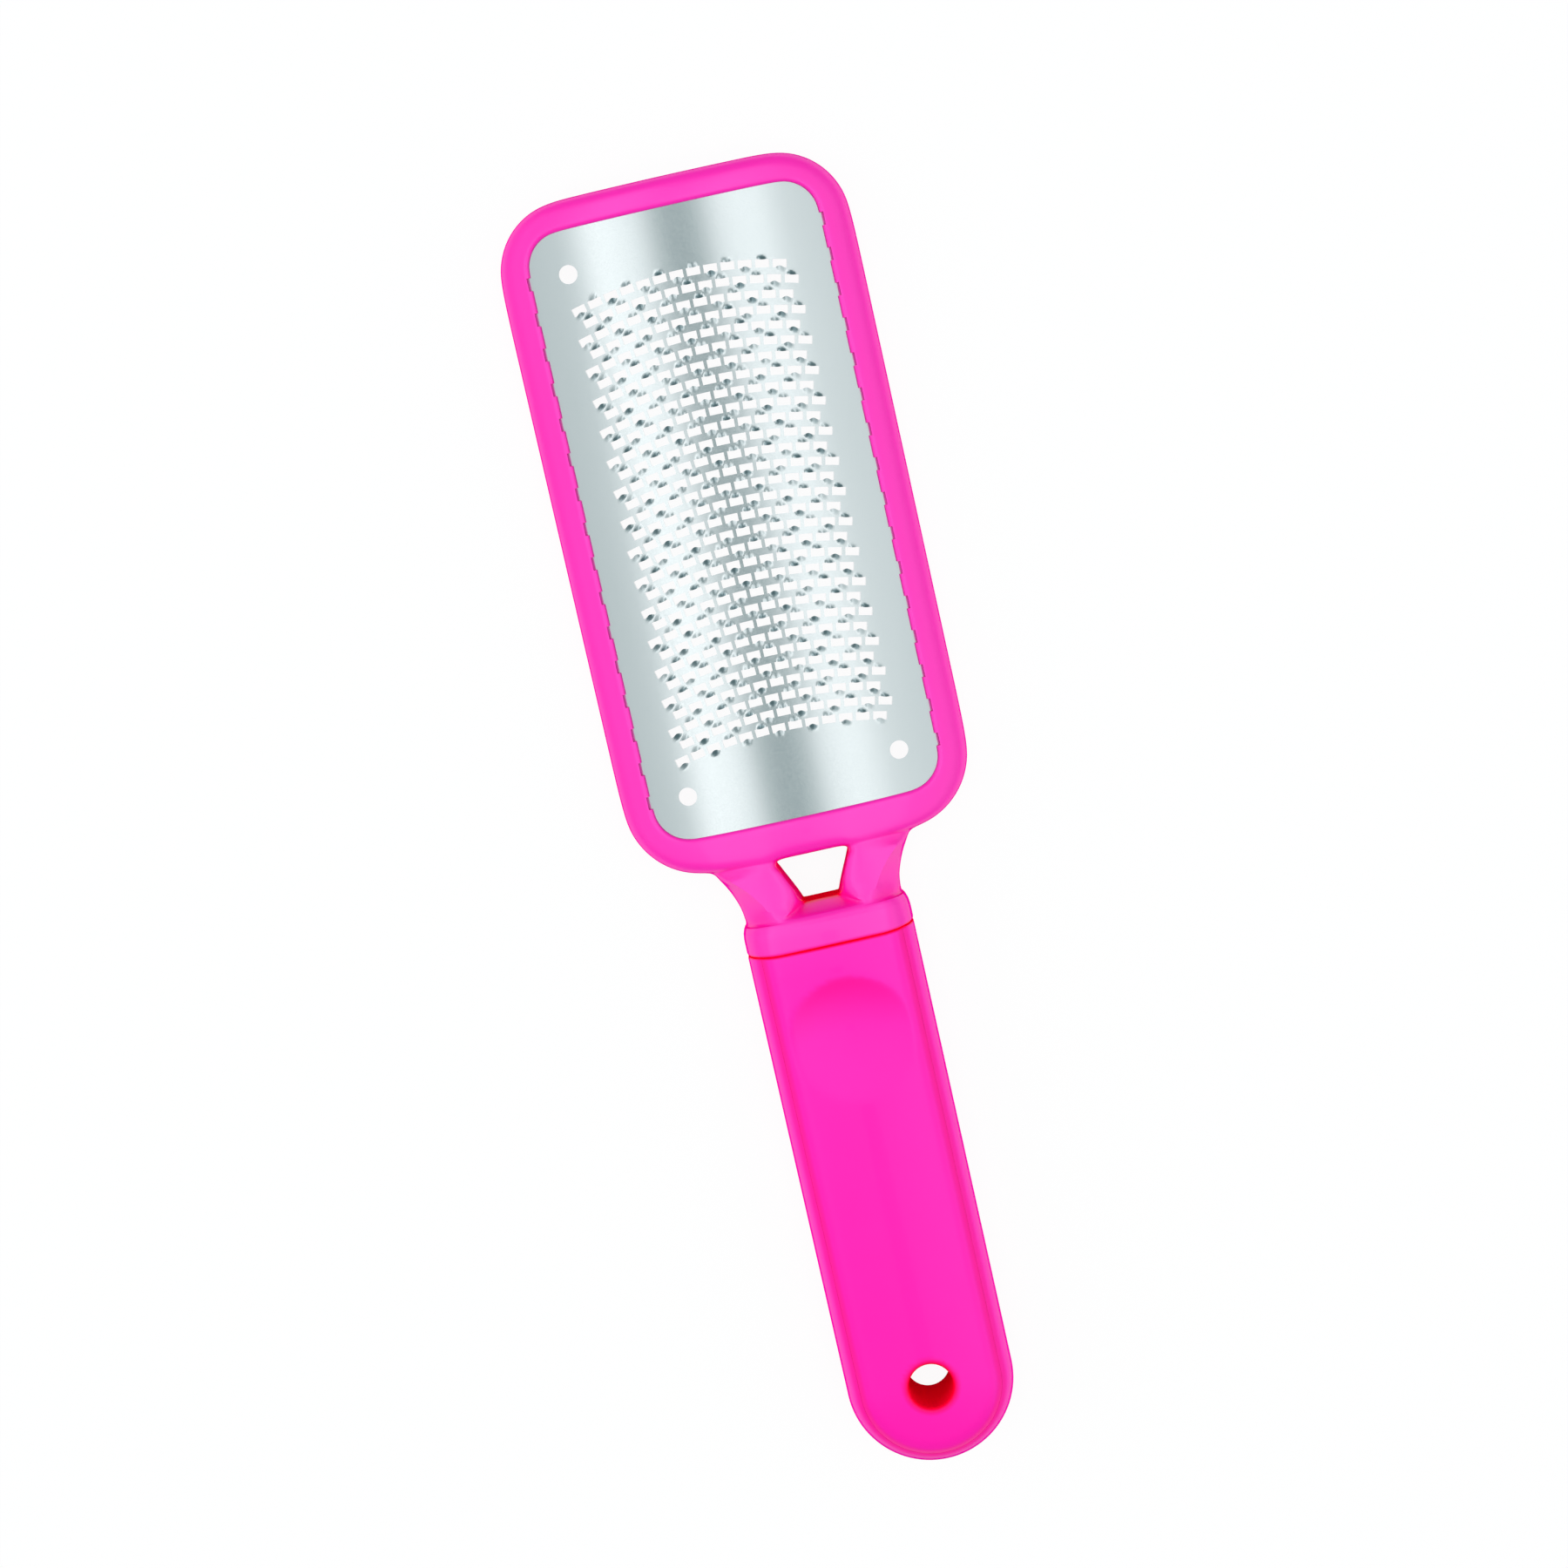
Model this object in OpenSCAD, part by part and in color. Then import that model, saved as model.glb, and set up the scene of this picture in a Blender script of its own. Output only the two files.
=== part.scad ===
/* [Overall] */
// Length from the head end to the butt of the handle
overall_l = 265; // [240:1:300]
// Smoothness of the round shapes
facet_n = 64; // [32:4:128]

/* [Head frame] */
// Width of the head across both side rails
head_w = 71; // [67:0.5:76]
// Length of the head from its end to the edge that carries the neck
head_l = 136.6; // [130:0.5:142]
// Height of the crown of the arched head above the table
crown_z = 15; // [14.4:0.1:16]
// Radius of the arched front of the head
arch_r = 95; // [88:1:110]
// Thickness of the frame, measured square to its front
frame_t = 9.8; // [9:0.1:10.6]
// Radius of the two outer corners at the head end
top_corner_r = 14; // [12:0.5:15.5]
// Radius of the two outer corners at the neck end
neck_corner_r = 16; // [15:0.5:18]

/* [Window over the plate] */
// Width of the plastic in front of the plate along each side
side_lip_w = 6.2; // [5.6:0.1:6.6]
// Width of the plastic in front of the plate at the head end
end_lip_w = 6; // [5.6:0.1:7]
// Width of the plastic in front of the plate at the neck end
neck_lip_w = 7.7; // [7:0.1:8.4]
// Corner radius of the window
window_r = 7; // [5:0.5:9]
// Thickness of the lip that laps over the edge of the plate
lip_t = 0.8; // [0.6:0.1:1.2]
// Number of hold-down notches along each side of the lip
notch_n = 16; // [8:1:17]
// Spacing of the notches
notch_pitch = 7.02; // [6.5:0.01:7.2]
// Length of one notch along the side
notch_l = 2.2; // [1.6:0.1:3]
// Depth of one notch into the lip
notch_d = 0.5; // [0.3:0.1:1]

/* [Rasp plate] */
// Thickness of the steel sheet
plate_t = 0.5; // [0.4:0.1:0.8]
// How far the plate runs under the lip
plate_lap = 2.2; // [1.5:0.1:2.4]
// Clearance round the plate in its groove
plate_gap = 0.03; // [0.02:0.01:0.1]
// Rows of cutting openings along the plate
row_n = 31; // [15:1:33]
// Spacing of the rows
row_pitch = 3.04; // [2.9:0.02:3.2]
// Openings in one row
col_n = 13; // [7:1:14]
// Spacing of the openings in a row
col_pitch = 3.37; // [3.2:0.01:3.6]
// Radius of the bow of each row across the plate
row_bow_r = 90; // [70:1:140]
// Distance from the window's head end to the crown of the first row
first_row_y = 13.4; // [12:0.2:16]
// Length of one opening along its row
slot_l = 2.7; // [2.2:0.1:2.8]
// Width of one opening
slot_w = 1.6; // [1.3:0.1:1.7]
// Diameter of the three locating holes
pilot_d = 3.7; // [3:0.1:4.2]
// Distance of the locating holes from the middle line
pilot_x = 21.6; // [20:0.1:23]
// Distance of the locating holes from the ends of the window
pilot_y = 8.6; // [8:0.1:9.4]

/* [Neck and tang] */
// Length of the neck from the head to the front of the collar
neck_l = 12.8; // [12:0.1:15]
// Radius of the hollow curve down each side of the neck
neck_side_r = 20; // [18:0.5:22]
// Width of the neck where it meets the collar
neck_w = 31; // [29:0.5:32]
// Height of the neck's front at the head, above the table
neck_head_z = 12.2; // [11.5:0.1:12.6]
// Height of the neck's front at the collar
neck_collar_z = 15.4; // [14:0.1:15.8]
// Height of the neck's back above the table
neck_back_z = 3; // [2.4:0.1:4]
// Width of the neck opening at the head
neck_gap_head_w = 14.4; // [12:0.2:16]
// Width of the neck opening at the collar
neck_gap_collar_w = 7.8; // [6.4:0.2:9]
// Length of the neck opening
neck_gap_l = 9.5; // [8.5:0.1:9.8]
// Distance from the head to the neck opening
neck_gap_set = 0.4; // [0.2:0.1:1]
// Half width of the flat front of the neck at the head
ridge_head_x = 18.5; // [17:0.5:19]
// Half width of the flat front of the neck at the collar
ridge_collar_x = 9.5; // [9:0.5:11]
// Slope of the neck's shoulders, from its flat front down to its sides
shoulder_a = 40; // [30:1:50]
// Height of the foot of the scoop between the struts
scoop_z = 10.6; // [9.5:0.1:12]
// Length of the collar along the handle
collar_l = 5.7; // [5:0.1:7]
// Width of the tang inside the handle
tang_w = 18; // [16:0.5:20]
// Thickness of the tang
tang_t = 5; // [4.6:0.1:5.4]
// Distance from the end of the tang to the boss of the butt screw
tang_end_gap = 6.3; // [2:0.1:12]
// Length of the spigot that fills the mouth of the handle
spigot_l = 4; // [3:0.5:6]

/* [Handle] */
// Width of the handle
handle_w = 34.2; // [33:0.2:36]
// Thickness of the handle
handle_t = 16.4; // [16:0.1:17]
// Rounding of the long edges of the handle
handle_edge_r = 6.5; // [5.5:0.1:7]
// Wall of the handle shells
wall_t = 2.2; // [2:0.1:2.6]
// Thickness of the grip cover at its middle
grip_t = 3; // [2.8:0.1:3.2]
// Thickness of the deck that the grip cover lies on
deck_t = 3; // [2.6:0.1:3.2]
// Depth of the soft groove round the grip cover
groove_depth = 0.6; // [0.3:0.1:0.8]
// Width of the rim of the front shell that shows round the grip cover
rim_w = 2.7; // [2.4:0.1:3]
// Clearance round the grip cover, and between the handle and the collar
fit_gap = 0.1; // [0.05:0.01:0.2]
// Width of the thumb dimple
dimple_w = 25; // [20:0.5:26]
// Depth of the thumb dimple
dimple_depth = 1; // [0.6:0.1:1.4]
// Distance from the collar to the middle of the dimple
dimple_y = 19.4; // [16:0.2:24]
// Diameter of the hanging hole
hang_d = 9; // [8:0.5:10]
// Lead-in of the hanging hole at both faces
hang_lead = 1; // [0.6:0.1:1.4]
// Wall of the tube round the hanging hole
hang_wall = 2; // [1.6:0.1:2.4]

/* [Screws] */
// Diameter of the screw shank
screw_d = 2.9; // [2.6:0.1:3.1]
// Length of the screw's point
screw_point_l = 1.2; // [0.8:0.1:1.6]
// Diameter of the tip of the screw
screw_tip_d = 0.8; // [0.4:0.1:1.2]
// Clearance of the shank in its holes, on the radius
screw_gap = 0.15; // [0.1:0.05:0.25]
// Diameter of the screw head
screw_head_d = 5.6; // [5:0.1:6]
// Height of the screw head
screw_head_h = 1.4; // [1.2:0.1:1.5]
// Length of the screw under its head
screw_l = 10; // [9:0.5:10.2]
// Width across the cross recess of the head
recess_w = 3; // [2.4:0.1:3.4]
// Depth of the cross recess
recess_depth = 0.8; // [0.6:0.1:1]
// Width of one arm of the cross recess
recess_t = 0.6; // [0.5:0.1:0.8]
// Diameter of the boss that a screw bites into
boss_d = 7; // [6.6:0.1:8]
// Distance from the collar to the upper tang screw
upper_screw_y = 11; // [9:0.5:12]
// Distance from the end of the tang to the lower tang screw
lower_screw_y = 14; // [6:0.5:20]
// Distance from the hanging hole to the butt screw
butt_screw_y = 17; // [15:0.5:19]

/* [Hidden] */
$fn = facet_n;
// Overrun of every cut past the face that it opens
over = 1;
pink = [1.0, 0.16, 0.68];
pink_soft = [1.0, 0.13, 0.62];
steel = [0.76, 0.79, 0.79];

// Places along the length, with the middle of the whole tool at zero
head_end_y = overall_l / 2;
butt_y = -overall_l / 2;
neck_y = head_end_y - head_l;
collar_y = neck_y - neck_l;
seam_y = collar_y - collar_l;
handle_top_y = seam_y - fit_gap;
hang_y = butt_y + handle_w / 2;

// The head is arched about an axis that runs along the tool, below the table
arch_axis_z = crown_z - arch_r;

// Window and plate outlines, seen from the front
window_x = head_w / 2 - side_lip_w;
window_top_y = head_end_y - end_lip_w;
window_low_y = neck_y + neck_lip_w;
plate_x = window_x + plate_lap;
plate_top_y = window_top_y + plate_lap;
plate_low_y = window_low_y - plate_lap;
plate_r = window_r + plate_lap;
notch_mid_y = (window_top_y + window_low_y) / 2;
col_step = col_pitch / 2;

// Heights inside the handle
handle_mid_z = handle_t / 2;
grip_floor_z = handle_t - grip_t;
grip_x = handle_w / 2 - rim_w;
tang_top_z = grip_floor_z - deck_t;
tang_low_z = tang_top_z - tang_t;
screw_seat_z = grip_floor_z - screw_head_h - fit_gap;
screw_hole_r = screw_d / 2 + screw_gap;
screw_tip_z = screw_seat_z - screw_l;
hang_r = hang_d / 2;
hang_tube_r = hang_r + hang_wall;
rib_t = wall_t / 2;
rib_x = tang_w / 2 + fit_gap;
butt_screw_place = hang_y + butt_screw_y;
tang_end_y = butt_screw_place + boss_d / 2 + tang_end_gap;
upper_screw_place = seam_y - upper_screw_y;
lower_screw_place = tang_end_y + lower_screw_y;
dimple_place = seam_y - dimple_y;
dimple_r = (pow(dimple_w / 2, 2) + pow(dimple_depth, 2)) / (2 * dimple_depth);

// Place of opening c in row r, counted from the head end and from the left
function slot_x(r, c) = (2 * c + r % 2 - (2 * col_n - 1) / 2) * col_step;
function slot_y(r, x) = window_top_y - first_row_y - r * row_pitch
    - row_bow_r + sqrt(pow(row_bow_r, 2) - pow(x, 2));
function slot_turn(x) = -asin(x / row_bow_r);

// Rounds off one corner of a flat shape: the waste outside an arc about [x, y], on the side [sx, sy]
module corner_waste(x, y, r, sx, sy) {
    translate([x, y]) mirror([sx < 0 ? 1 : 0, 0]) mirror([0, sy < 0 ? 1 : 0]) difference() {
        square(r + over);
        circle(r);
    }
}

// Rectangle about the middle line, of one corner radius at the head end and one at the neck end
module round_outline(x, top, low, top_r, low_r) {
    difference() {
        translate([-x, low]) square([2 * x, top - low]);
        for (side = [-1, 1]) {
            corner_waste(side * (x - top_r), top - top_r, top_r, side, 1);
            corner_waste(side * (x - low_r), low + low_r, low_r, side, -1);
        }
    }
}

// A sheet that follows the arched front of the head, from one depth below it down to another
module arched_sheet(top, low, low_y, top_y) {
    run = top_y - low_y;
    translate([0, top_y, arch_axis_z]) rotate([90, 0, 0]) difference() {
        cylinder(h = run, r = arch_r - top);
        translate([0, 0, -over]) cylinder(h = run + 2 * over, r = arch_r - low);
    }
}

// All cutting openings, seen from the front
module slot_field() {
    for (r = [0:row_n - 1], c = [0:col_n - 1]) {
        x = slot_x(r, c);
        translate([x, slot_y(r, x)]) rotate(slot_turn(x)) square([slot_l, slot_w], center = true);
    }
}

module rasp_plate() {
    color(steel) difference() {
        intersection() {
            arched_sheet(lip_t, lip_t + plate_t, plate_low_y - over, plate_top_y + over);
            linear_extrude(crown_z)
                round_outline(plate_x, plate_top_y, plate_low_y, plate_r, plate_r);
        }
        linear_extrude(crown_z + over) slot_field();
        for (place = [[-1, 1], [-1, -1], [1, -1]])
            translate([
                place[0] * pilot_x,
                place[1] > 0 ? window_top_y - pilot_y : window_low_y + pilot_y, 0
            ])
                cylinder(h = crown_z + over, d = pilot_d);
    }
}

// The arched ring, flat where it lies on the table
module ring() {
    intersection() {
        arched_sheet(0, frame_t, neck_y - over, head_end_y + over);
        linear_extrude(crown_z)
            round_outline(head_w / 2, head_end_y, neck_y, top_corner_r, neck_corner_r);
    }
}

// The groove that holds the edge of the plate, the window before and behind it, and the notches
module plate_seat() {
    intersection() {
        arched_sheet(
            lip_t - plate_gap, lip_t + plate_t + plate_gap, plate_low_y - over, plate_top_y + over
        );
        linear_extrude(crown_z) round_outline(
            plate_x + plate_gap, plate_top_y + plate_gap, plate_low_y - plate_gap,
            plate_r + plate_gap, plate_r + plate_gap
        );
    }
    translate([0, 0, -over]) linear_extrude(crown_z + 2 * over)
        round_outline(window_x, window_top_y, window_low_y, window_r, window_r);
    intersection() {
        arched_sheet(-over, lip_t, window_low_y, window_top_y);
        linear_extrude(crown_z + over) for (side = [-1, 1], i = [0:notch_n - 1])
            translate([
                side * window_x - notch_d,
                notch_mid_y + (i - (notch_n - 1) / 2) * notch_pitch - notch_l / 2
            ])
                square([2 * notch_d, notch_l]);
    }
}

// Seen from the front, the neck narrows along two hollow curves
module neck_outline() {
    curve_x = neck_w / 2 + neck_side_r;
    reach = head_w / 2 - neck_corner_r + over;
    difference() {
        translate([-reach, collar_y]) square([2 * reach, neck_l + frame_t / 2]);
        for (side = [-1, 1]) translate([side * curve_x, collar_y]) circle(neck_side_r);
    }
}

// The neck: its front climbs to the collar, and a shoulder slopes away at each side
module neck() {
    climb_a = atan((neck_collar_z - neck_head_z) / neck_l);
    ridge_a = atan((ridge_head_x - ridge_collar_x) / neck_l);
    reach = head_w / 2;
    difference() {
        translate([0, 0, neck_back_z]) linear_extrude(handle_t - neck_back_z) neck_outline();
        translate([-reach, neck_y, neck_head_z]) rotate([-climb_a, 0, 0])
            translate([0, -reach, 0]) cube([2 * reach, 2 * reach, reach]);
        for (side = [-1, 1]) mirror([side < 0 ? 1 : 0, 0, 0])
            translate([ridge_head_x, neck_y, neck_head_z]) rotate([-climb_a, 0, 0])
                rotate([0, 0, -ridge_a]) rotate([0, shoulder_a, 0])
                    translate([0, -reach, 0]) cube([reach, 2 * reach, reach]);
    }
}

// The window between the struts, and the scoop that runs from it up to the collar
module neck_opening() {
    gap_top_y = neck_y - neck_gap_set;
    gap_low_y = gap_top_y - neck_gap_l;
    linear_extrude(handle_t + over) polygon([
        [-neck_gap_head_w / 2, gap_top_y], [neck_gap_head_w / 2, gap_top_y],
        [neck_gap_collar_w / 2, gap_low_y], [-neck_gap_collar_w / 2, gap_low_y]
    ]);
    intersection() {
        translate([-handle_w, 0, 0]) rotate([90, 0, 90]) linear_extrude(2 * handle_w) polygon([
            [gap_low_y + over, scoop_z], [gap_low_y, scoop_z], [collar_y, handle_t],
            [collar_y, handle_t + over], [gap_low_y + over, handle_t + over]
        ]);
        linear_extrude(handle_t + over) polygon([
            [-neck_gap_collar_w / 2, gap_low_y + over], [neck_gap_collar_w / 2, gap_low_y + over],
            [neck_gap_collar_w / 2, gap_low_y], [ridge_collar_x, collar_y],
            [-ridge_collar_x, collar_y], [-neck_gap_collar_w / 2, gap_low_y]
        ]);
    }
}

// Section of the handle, or of its inside when inset by the wall
module handle_section(inset) {
    x = handle_w / 2 - inset;
    r = handle_edge_r - inset;
    translate([0, handle_mid_z]) round_outline(x, handle_mid_z - inset, inset - handle_mid_z, r, r);
}

// The same section run along the handle and swept round its butt
module handle_form(inset, top_y) {
    translate([0, hang_y, 0]) {
        rotate([90, 0, 180]) linear_extrude(top_y - hang_y) handle_section(inset);
        rotate([0, 0, 180]) rotate_extrude(angle = 180) intersection() {
            handle_section(inset);
            square([handle_w, handle_t]);
        }
    }
}

// A straight-sided block with the handle's outline, of half width x, from one height to another
module handle_block(x, top_y, low, top) {
    translate([0, hang_y, low]) {
        translate([-x, 0, 0]) cube([2 * x, top_y - hang_y, top - low]);
        cylinder(h = top - low, r = x);
    }
}

// The soft groove between the grip cover and the rim round it
module rim_groove() {
    rim_z = handle_mid_z + sqrt(pow(handle_edge_r, 2) - pow(handle_edge_r - rim_w, 2))
        + handle_mid_z - handle_edge_r;
    side = groove_depth * sqrt(2);
    translate([0, hang_y, rim_z]) {
        for (way = [-1, 1]) translate([way * grip_x, 0, 0])
            rotate([90, 0, 180]) linear_extrude(handle_top_y + over - hang_y)
                rotate(45) square(side, center = true);
        rotate([0, 0, 180]) rotate_extrude(angle = 180)
            translate([grip_x, 0]) rotate(45) square(side, center = true);
    }
}

module screw_hole(y, low, top) {
    translate([0, y, low]) cylinder(h = top - low, r = screw_hole_r);
}

module head_frame() {
    color(pink) difference() {
        union() {
            ring();
            neck();
            translate([0, collar_y, 0]) rotate([90, 0, 0]) linear_extrude(collar_l) handle_section(0);
            translate([0, seam_y + over, 0]) rotate([90, 0, 0]) linear_extrude(spigot_l + over)
                intersection() {
                    handle_section(wall_t + fit_gap);
                    translate([-handle_w / 2, 0]) square([handle_w, tang_top_z]);
                }
            translate([-tang_w / 2, tang_end_y, tang_low_z])
                cube([tang_w, seam_y + over - tang_end_y, tang_t]);
        }
        plate_seat();
        neck_opening();
        translate([-head_w, -overall_l, -head_w]) cube([2 * head_w, 2 * overall_l, head_w]);
        screw_hole(upper_screw_place, tang_low_z - over, tang_top_z + over);
        screw_hole(lower_screw_place, tang_low_z - over, tang_top_z + over);
    }
}

module handle_back_shell() {
    color(pink) difference() {
        union() {
            difference() {
                intersection() {
                    handle_form(0, handle_top_y);
                    handle_block(handle_w / 2 + over, handle_top_y, 0, handle_mid_z);
                }
                intersection() {
                    handle_form(wall_t, handle_top_y + over);
                    handle_block(handle_w / 2, handle_top_y + over, 0, handle_mid_z + over);
                }
            }
            for (y = [upper_screw_place, lower_screw_place])
                translate([0, y, wall_t / 2]) cylinder(h = tang_low_z - wall_t / 2, d = boss_d);
            translate([0, butt_screw_place, wall_t / 2])
                cylinder(h = tang_top_z - wall_t / 2, d = boss_d);
            translate([0, hang_y, wall_t / 2])
                cylinder(h = grip_floor_z - wall_t / 2, r = hang_tube_r);
            for (side = [-1, 1])
                translate([side > 0 ? rib_x : -rib_x - rib_t, tang_end_y, wall_t / 2])
                    cube([
                        rib_t, seam_y - spigot_l - rib_t - tang_end_y, handle_mid_z - wall_t / 2
                    ]);
        }
        translate([0, hang_y, -over]) cylinder(h = handle_t, r = hang_r);
        translate([0, hang_y, -over])
            cylinder(h = hang_lead + over, r1 = hang_r + hang_lead + over, r2 = hang_r);
        screw_hole(upper_screw_place, screw_tip_z - fit_gap, tang_low_z + over);
        screw_hole(lower_screw_place, screw_tip_z - fit_gap, tang_low_z + over);
        screw_hole(butt_screw_place, screw_tip_z - fit_gap, tang_top_z + over);
    }
}

module handle_front_shell() {
    color(pink) difference() {
        intersection() {
            handle_form(0, handle_top_y);
            handle_block(handle_w / 2 + over, handle_top_y, handle_mid_z, handle_t);
        }
        intersection() {
            handle_form(wall_t, handle_top_y + over);
            handle_block(handle_w / 2, handle_top_y + over, 0, tang_top_z);
        }
        handle_block(grip_x + fit_gap, handle_top_y + over, grip_floor_z, handle_t + over);
        translate([0, hang_y, 0]) cylinder(h = handle_t, r = hang_tube_r + fit_gap);
        for (y = [upper_screw_place, lower_screw_place, butt_screw_place]) {
            screw_hole(y, tang_top_z - over, grip_floor_z + over);
            translate([0, y, screw_seat_z])
                cylinder(h = grip_floor_z + over - screw_seat_z, d = screw_head_d + 2 * screw_gap);
        }
        rim_groove();
    }
}

module grip_cover() {
    color(pink_soft) difference() {
        intersection() {
            handle_form(0, handle_top_y);
            handle_block(grip_x, handle_top_y, grip_floor_z, handle_t + over);
        }
        translate([0, hang_y, 0]) cylinder(h = handle_t + over, r = hang_r);
        translate([0, hang_y, handle_t - hang_lead])
            cylinder(h = hang_lead + over, r1 = hang_r, r2 = hang_r + hang_lead + over);
        translate([0, dimple_place, handle_t - dimple_depth + dimple_r]) sphere(dimple_r);
        rim_groove();
    }
}

// A pan-head screw with a cross recess, its head towards the front
module screw(y) {
    color(steel) translate([0, y, screw_seat_z]) {
        difference() {
            cylinder(h = screw_head_h, d = screw_head_d);
            for (turn = [0, 90]) rotate(turn)
                translate([-recess_w / 2, -recess_t / 2, screw_head_h - recess_depth])
                    cube([recess_w, recess_t, recess_depth + over]);
        }
        translate([0, 0, screw_point_l - screw_l])
            cylinder(h = screw_l - screw_point_l, d = screw_d);
        translate([0, 0, -screw_l]) cylinder(h = screw_point_l, d1 = screw_tip_d, d2 = screw_d);
    }
}

module tang_screw_upper() {
    screw(upper_screw_place);
}

module tang_screw_lower() {
    screw(lower_screw_place);
}

module butt_screw() {
    screw(butt_screw_place);
}

rasp_plate();
head_frame();
handle_back_shell();
handle_front_shell();
grip_cover();
tang_screw_upper();
tang_screw_lower();
butt_screw();
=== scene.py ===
# %% [markdown]
# # A foot file, piece by piece
# The object is a long-handled foot rasp. A thin arched steel plate with raised teeth sits in a hot pink
# plastic frame, two struts lead to a collar, and a flat handle with a thumb dimple closes against it.
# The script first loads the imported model, which fixes every size and place, and then builds each piece
# around it in millimetres. The last step of each piece turns the millimetres into metres.

# %% Load the frame
import math

import bmesh
import bpy
from mathutils import Matrix, Vector


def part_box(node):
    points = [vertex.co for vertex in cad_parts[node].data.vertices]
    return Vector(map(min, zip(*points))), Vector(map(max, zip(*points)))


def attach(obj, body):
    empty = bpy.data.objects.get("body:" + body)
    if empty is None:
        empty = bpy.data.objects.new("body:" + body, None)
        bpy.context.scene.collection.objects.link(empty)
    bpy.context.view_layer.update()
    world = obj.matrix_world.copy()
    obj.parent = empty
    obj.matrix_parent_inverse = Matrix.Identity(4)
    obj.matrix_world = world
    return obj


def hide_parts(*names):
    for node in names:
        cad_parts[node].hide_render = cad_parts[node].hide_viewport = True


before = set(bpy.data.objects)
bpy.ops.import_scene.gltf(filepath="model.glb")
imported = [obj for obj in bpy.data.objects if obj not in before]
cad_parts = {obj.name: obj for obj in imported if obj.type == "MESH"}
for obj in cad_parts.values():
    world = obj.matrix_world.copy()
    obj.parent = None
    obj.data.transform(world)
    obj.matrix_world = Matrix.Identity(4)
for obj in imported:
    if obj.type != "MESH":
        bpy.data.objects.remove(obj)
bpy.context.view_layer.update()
MM = 0.001


def node_box(node):
    """Lowest and highest corner of a node of the frame, in millimetres."""
    low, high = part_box(node)
    return low / MM, high / MM


# %% [markdown]
# ## Camera, light and floor
# The photograph looks almost straight down on the tool from about 0.64 m, with the head leaning to the
# left. The camera is placed by its foot on the table, its aim and its roll, because those three are what
# a photographer sets. Steel shows its surroundings more than its own colour, so two long soft boxes stand
# left and right of the tool: the arched plate mirrors them a quarter of the way in from each side, and
# mirrors the dimmer gap between them along its middle. The gap runs straight up the picture, so all lamps
# are placed in the picture's axes. The soft boxes end short of the butt, so that the head side of the
# thumb dimple and the butt of the handle lose their sheen. The three fills aren't mirrored. They
# bring the light on the plastic to the level at which a colour renders as it is written.

# %% Camera
EYE = Vector((11.5, 79.0, 642.8)) * MM
AIM = Vector((-2.4, 10.1, 8.0)) * MM
ROLL = math.radians(12.65)
LENS = 73.0

sight = (AIM - EYE).normalized()
lean = Vector((math.sin(ROLL), math.cos(ROLL), 0))
right = sight.cross(lean).normalized()
up = right.cross(sight)
camera_data = bpy.data.cameras.new("camera")
camera_data.lens = LENS
camera_data.sensor_width = 36
camera = bpy.data.objects.new("camera", camera_data)
camera.matrix_world = Matrix.Translation(EYE) @ Matrix((right, up, -sight)).transposed().to_4x4()
bpy.context.scene.collection.objects.link(camera)
bpy.context.scene.camera = camera
bpy.context.scene.view_settings.view_transform = "Standard"
print("camera distance in mm:", round((AIM - EYE).length / MM, 1))


# %% Lamps and world
picture = Matrix.Rotation(-ROLL, 3, "Z")


def soft_box(name, place, size, radiance):
    """A rectangular lamp of an even radiance that faces the tool; place is in the picture's own axes."""
    data = bpy.data.lights.new(name, "AREA")
    data.shape = "RECTANGLE"
    data.size, data.size_y = size
    data.energy = radiance * math.pi * size[0] * size[1]
    lamp = bpy.data.objects.new(name, data)
    back = Vector(place).normalized()
    side = Vector((0, 1, 0)).cross(back).normalized()
    turn = Matrix((side, back.cross(side), back)).transposed()
    lamp.matrix_world = Matrix.Translation(picture @ Vector(place)) @ (picture @ turn).to_4x4()
    bpy.context.scene.collection.objects.link(lamp)
    return lamp


soft_box("soft_box_left", (-0.319, 0.13, 1.0), (0.314, 1.24), 0.86)
soft_box("soft_box_right", (0.254, 0.13, 1.0), (0.292, 1.24), 0.84)
soft_box("wash_left", (-0.76, 0.0, 1.0), (0.7, 1.4), 0.31)
soft_box("wash_right", (0.76, 0.0, 1.0), (0.7, 1.4), 0.44)
fills = [
    soft_box("fill_left", (-1.15, 0.0, 0.6), (0.9, 1.6), 1.7),
    soft_box("fill_right", (1.15, 0.0, 0.6), (0.9, 1.6), 1.3),
    soft_box("fill_top", (0.0, 0.05, 1.3), (0.9, 0.9), 2.5),
]
for fill in fills:
    fill.visible_glossy = False

WORLD_TINT = (0.74, 0.97, 1.0, 1)
WORLD_LEVEL = 0.34
world = bpy.data.worlds.new("studio")
bpy.context.scene.world = world
world.use_nodes = True
world.node_tree.nodes["Background"].inputs["Color"].default_value = WORLD_TINT
world.node_tree.nodes["Background"].inputs["Strength"].default_value = WORLD_LEVEL

# %% [markdown]
# The floor is near white. To the camera, and to anything shiny, most of its light is its own, so that the
# ground reads as white paper. The rest is a plain diffuse floor, which still takes the tool's shadow.

# %% Floor
WHITE = (1, 1, 1, 1)
FLOOR_SIZE = 3.0
FLOOR_DROP = 0.05
FLOOR_GREY = (0.86, 0.86, 0.86, 1)
FLOOR_GLOW = 0.94


def combined(tree, operation, first, second, clamp=False):
    """One value made of two, by adding them or another operation of the Math node."""
    node = tree.nodes.new("ShaderNodeMath")
    node.operation = operation
    node.use_clamp = clamp
    tree.links.new(first, node.inputs[0])
    tree.links.new(second, node.inputs[1])
    return node.outputs[0]


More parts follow.
